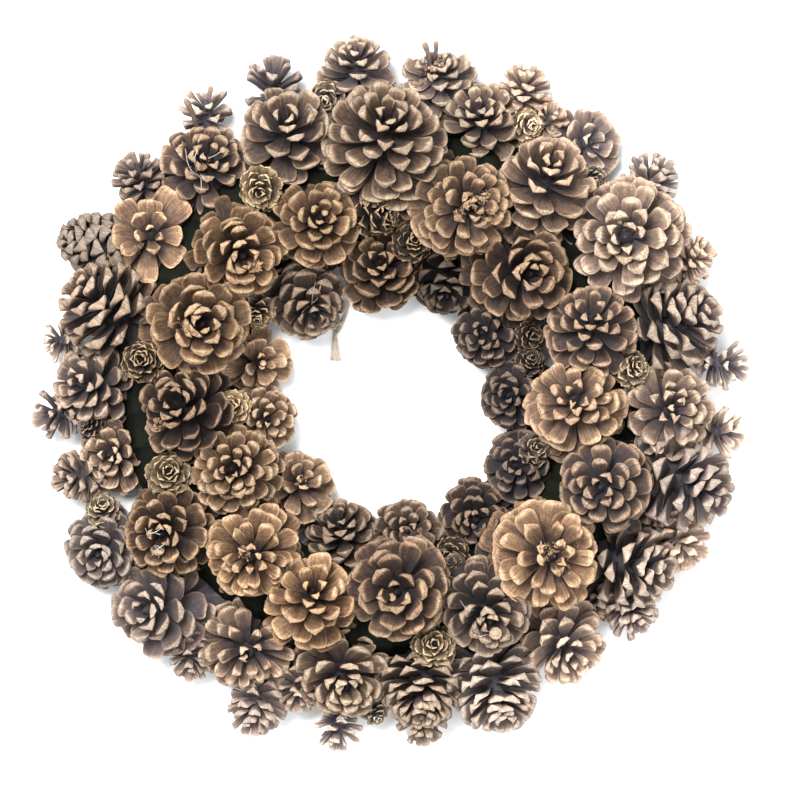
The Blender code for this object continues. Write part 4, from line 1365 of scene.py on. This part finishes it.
def add_tips(shape, tree, node, tint, grey):
    """The flat round tip of a cone's stem, with a raised rim."""
    for tip in of_node(TIPS, node):
        place = surface_at(tree, tip.x, tip.y)[0]
        if place is None:
            continue
        outline = [(share * tip.radius * PIXEL, height) for share, height in TIP_OUTLINE]
        points, faces = round_body(outline, sides=14)
        add_plain(shape, points + np.array(place), faces, TIP_TONE, tint * TIP_LIGHT, grey)


def cone_colour(placed, rng):
    """The tint and greyness of a cone: its own look with the painted light or shade that some looks hold,
    greyer with painted haze at the right and the outer edge, and darker towards the middle with painted
    shade.
    """
    spot = placed.foot
    distance = math.hypot(spot[0], spot[1])
    outside = (max(0.0, distance - GREY_FROM) / GREY_OVER) ** GREY_POWER
    grey = GREY_BASE + GREY_OUTSIDE * outside + GREY_RIGHT * spot[0] + rng.uniform(-GREY_DRAW, GREY_DRAW)
    look = LOOKS[placed.cone.look]
    light = look.light * np.interp(distance, PAINTED_LIGHT_PLACES, PAINTED_LIGHT_THERE)
    light = light * rng.uniform(1 - LIGHT_DRAW, 1 + LIGHT_DRAW)
    return EXPOSURE * light * np.array(look.colour), min(max(grey, 0.0), GREY_MOST)


def cone_shape(placed, groups, root, tint, grey):
    """A cone's groups of scales, its stem, and a stalk to its root where that is further off."""
    kind_name = placed.cone.kind
    lowest, highest = TONE_RANGE.get(kind_name, (0.0, 1.0))
    # How fast the painted shade deepens away from each scale's rim
    fall = LOOKS[placed.cone.look].fall
    if kind_name == "finger":
        fall = fall * FINGER_FALL
    shape = Shape()
    # The gap scales' tones are darkened as painted shade
    for dim, (points, faces, tones, grain) in zip((1.0, GAP_SHADE), groups):
        toned = (lowest + (highest - lowest) * tones ** fall) * dim
        shape.add(points, faces, grain=grain, **colouring(len(points), toned, tint, grey))
    points, faces = core_body(placed.kind, placed.radius)
    # The stem has the darkest tone, painted shade deep inside the cone
    add_plain(shape, placed.foot + points @ placed.frame, faces, 0.0, tint, grey)
    if np.linalg.norm(root - placed.foot) > SHORTEST_STALK:
        points, faces = stalk(placed.foot, root, *(placed.radius * share for share in STALK_RADII))
        add_plain(shape, points, faces, STALK_TONE, tint, grey)
    return shape


def add_details(shape, node, tint, grey, rng):
    """What lies on the first cone of a node."""
    points, faces, _ = shape.joined()
    tree = BVHTree.FromPolygons([Vector(point) for point in points], faces)
    add_chips(shape, tree, node, grey, rng)
    add_threads(shape, tree, node)
    add_twigs(shape, tree, node, tint, grey)
    add_tips(shape, tree, node, tint, grey)


def ring_surface():
    """The part's ring as a tree of faces, about its own middle."""
    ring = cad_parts["base_ring"].data
    corners = [vertex.co - Vector(RING_PLACE) for vertex in ring.vertices]
    return BVHTree.FromPolygons(corners, [tuple(face.vertices) for face in ring.polygons])


def make_cones(materials):
    """Each cone as a piece of its own, standing for the node of the part that holds it."""
    ring_tree = ring_surface()
    all_placed, hosts = place_all(ring_tree)
    planes = cell_planes(all_placed)
    numbers = {}
    for index, placed in enumerate(all_placed):
        number = placed.cone.node
        numbers[number] = numbers.get(number, 0) + 1
        rng = np.random.default_rng(CONE_SEED + index)
        tint, grey = cone_colour(placed, rng)
        groups = [make_scales(placed, planes[index], rng)]
        if placed.cone.kind in OPEN_KINDS:
            others = [other for other in all_placed if other is not placed and other.cone.kind != "larch"]
            groups.append(make_gap_scales(placed, others, rng))
        if placed is hosts[number]:
            root = np.array(ring_tree.find_nearest(Vector(placed.foot))[0])
            shape = cone_shape(placed, groups, root, tint, grey)
            add_details(shape, number, tint, grey, rng)
        else:
            shape = cone_shape(placed, groups, hosts[number].core_low, tint, grey)
        points, faces, values = shape.joined()
        points = points + RING_PLACE
        points[:, 2] = np.maximum(points[:, 2], TABLE_CLEARANCE)
        look = "larch" if placed.cone.kind == "larch" else "pine"
        node = f"pine_cones_{number:02d}"
        piece = make_piece(f"{node}_{look}_{numbers[number]}", materials[look], points, faces, values)
        piece.data.set_sharp_from_angle(angle=math.radians(SHARP_ANGLE))
        settle(piece, "cone_scale", node)


def add_twine(shape, way, seed):
    """Plies twisted round one way."""
    twist = runs_along(way) / PLY_TWIST * 2 * math.pi
    axes = axes_along(way)
    for ply in range(PLY_COUNT):
        turns = twist + ply * 2 * math.pi / PLY_COUNT
        offsets = [a * math.cos(turn) + b * math.sin(turn) for (a, b), turn in zip(axes, turns)]
        radii = np.full(len(way), PLY_RADIUS)
        add_tube(shape, way + PLY_OFFSET * np.array(offsets), radii, sides=7, seed=seed + ply)


def make_strand(name, points, material):
    """A free length of twine, from where it leaves the ring."""
    way = smooth_way(points, steps=8) + RING_PLACE
    shape = Shape()
    add_twine(shape, way, 0.0)
    strand = make_piece(name, material, *shape.joined())
    return strand


def make_knot(material):
    """An overhand knot drawn tight: one strand that passes over and under itself."""
    turns = np.linspace(0, 2 * math.pi, KNOT_STEPS)
    reach = (np.array(KNOT_SIZE) - TWINE_THICKNESS) / 2
    round_about = np.stack([
        (np.sin(turns) + 2 * np.sin(2 * turns)) / 3,
        (np.cos(turns) - 2 * np.cos(2 * turns)) / 3,
        -np.sin(3 * turns),
    ], axis=1)
    shape = Shape()
    add_twine(shape, np.array(KNOT_MIDDLE) + round_about * reach + RING_PLACE, float(PLY_COUNT))
    return make_piece("twine_overhand_knot", material, *shape.joined())


def make_frayed_end(material):
    """Loose fibres that spread from the end of the tail."""
    rng = np.random.default_rng(FRAY_SEED)
    start = np.array(TWINE_TAIL_WAY[-1]) + RING_PLACE
    shape = Shape()
    for fibre in range(FRAY_FIBRES):
        spread = rng.uniform(-1, 1)
        reach = rng.uniform(*FRAY_REACH) * (1 - FRAY_ROUNDING * abs(spread))
        end = start + (spread * FRAY_END_SPREAD, -reach, rng.uniform(*FRAY_END_RISE))
        bow = (spread * FRAY_START_SPREAD, FRAY_BOW, rng.uniform(0.0, FRAY_BOW_RISE))
        first = start + (spread * FRAY_START_SPREAD, FRAY_BACK, FRAY_START_RISE)
        way = smooth_way((first, (start + end) / 2 + bow, end), steps=4)
        way[:, 2] = np.maximum(way[:, 2], TABLE_CLEARANCE)
        add_tube(shape, way, np.linspace(*FRAY_RADII, len(way)), sides=5, seed=float(fibre % 5))
    return make_piece("twine_frayed_end", material, *shape.joined())


def make_twine(material):
    """The hanging loop: two strands from the ring that meet in a knot, and a frayed tail."""
    knot = make_knot(material)
    frayed = make_frayed_end(material)
    long_way = TWINE_LONG_WAY + TWINE_IN_KNOT + TWINE_TAIL_WAY
    long_strand = make_strand("twine_long", long_way, material)
    short_strand = make_strand("twine_short", TWINE_SHORT_WAY, material)
    settle(long_strand, "jute_twine", "twine_long_strand", "twine_tail")
    settle(short_strand, "jute_twine", "twine_short_strand")
    settle(knot, "jute_twine", "twine_knot")
    settle(frayed, "jute_twine")


def ring_section(per_side):
    """The ring's outline in cross section: an oval with a flat back, as (outward, up) points."""
    corners = np.array(RING_SECTION) * (RING_WIDTH / 2, RING_HEIGHT)
    points = []
    for here, there in zip(corners, np.roll(corners, -1, axis=0)):
        for step in range(per_side):
            points.append(here + (there - here) * step / per_side)
    return np.array(points)


def make_ring(material):
    """The base ring, wound round and round with a dark ribbon whose turns overlap."""
    section = ring_section(per_side=3)
    away = section - (0.0, RING_HEIGHT / 2)
    away = away / np.linalg.norm(away, axis=1, keepdims=True)
    count = len(section)
    around, share = np.meshgrid(np.arange(count) / count, np.arange(WRAP_STEPS) / WRAP_STEPS)
    place = (share * WRAP_TURNS + around) % 1.0
    lift = WRAP_THICKNESS * (np.clip(place * WRAP_OVERLAP, 0, 1) - 1.0)
    radius = RING_MIDDLE_RADIUS + (section[:, 0] + away[:, 0] * lift)
    height = np.maximum(section[:, 1] + away[:, 1] * lift, 0.0)
    turn = 2 * math.pi * share
    points = np.stack([radius * np.cos(turn), radius * np.sin(turn), height], axis=-1).reshape(-1, 3)
    grain = np.stack([around * RING_GIRTH, share * RING_LENGTH, place], axis=-1).reshape(-1, 3)
    total = len(points)
    quads = side_faces(WRAP_STEPS + 1, count)
    faces = [(a % total, d % total, c % total, b % total) for a, b, c, d in quads]
    values = {"tone": place.ravel(), "grain": grain}
    ring = make_piece("ring_ribbon", material, points + RING_PLACE, faces, values)
    settle(ring, "ring_wrap", "base_ring")


def jute_material():
    """Pale fibrous twine."""
    paint = Paint("jute", roughness=0.92, specular=0.15)
    grain = paint.read("grain", "Vector")
    fibres = paint.noise(grain, scale=(500.0, 5200.0, 1.0), detail=3.0, roughness=0.6)
    paint.set("Base Color", paint.ramp(fibres, JUTE_STOPS))
    paint.bump(fibres, distance=0.0003, strength=0.7)
    return paint.material


def ribbon_material():
    """Dark green-black ribbon with a fine weave and darker seams."""
    paint = Paint("ribbon", roughness=0.85, specular=0.06)
    grain = paint.read("grain", "Vector")
    weave = paint.noise(grain, scale=(900.0, 2600.0, 1.0), detail=2.0, roughness=0.5)
    seams = paint.ramp(paint.read("tone", "Fac"), SEAM_STOPS)
    paint.set("Base Color", paint.mix("MULTIPLY", 0.8, seams, paint.ramp(weave, WEAVE_STOPS)))
    paint.bump(weave, distance=0.0002, strength=0.5)
    return paint.material


def make_floor():
    """A plain white table top, just under the wreath."""
    paint = Paint("floor", roughness=0.9, specular=0.2)
    paint.set("Base Color", FLOOR_COLOUR)
    corners = np.array(((-1, -1, 0), (1, -1, 0), (1, 1, 0), (-1, 1, 0))) * FLOOR_REACH
    floor = make_piece("floor", paint.material, corners, [(0, 1, 2, 3)])
    floor.location.z = -FLOOR_DROP


def make_lights():
    world = bpy.data.worlds.new("world")
    world.use_nodes = True
    sky = world.node_tree.nodes["Background"]
    sky.inputs["Color"].default_value = SKY_COLOUR
    sky.inputs["Strength"].default_value = SKY_STRENGTH
    bpy.context.scene.world = world
    for lamp in LAMPS:
        light = bpy.data.lights.new(lamp.name, "AREA")
        light.size = lamp.size
        light.energy = lamp.power
        body = add_object(lamp.name, light)
        body.location = lamp.place
        body.rotation_euler = (-Vector(lamp.place)).to_track_quat("-Z", "Y").to_euler()


def build():
    make_camera()
    make_twine(jute_material())
    make_ring(ribbon_material())
    make_cones({
        "pine": scale_material("pine_scale", PINE_STOPS, PINE_GREY),
        "larch": scale_material("larch_scale", LARCH_STOPS, LARCH_GREY),
    })
    make_floor()
    make_lights()
    bpy.context.scene.view_settings.view_transform = "Standard"


build()
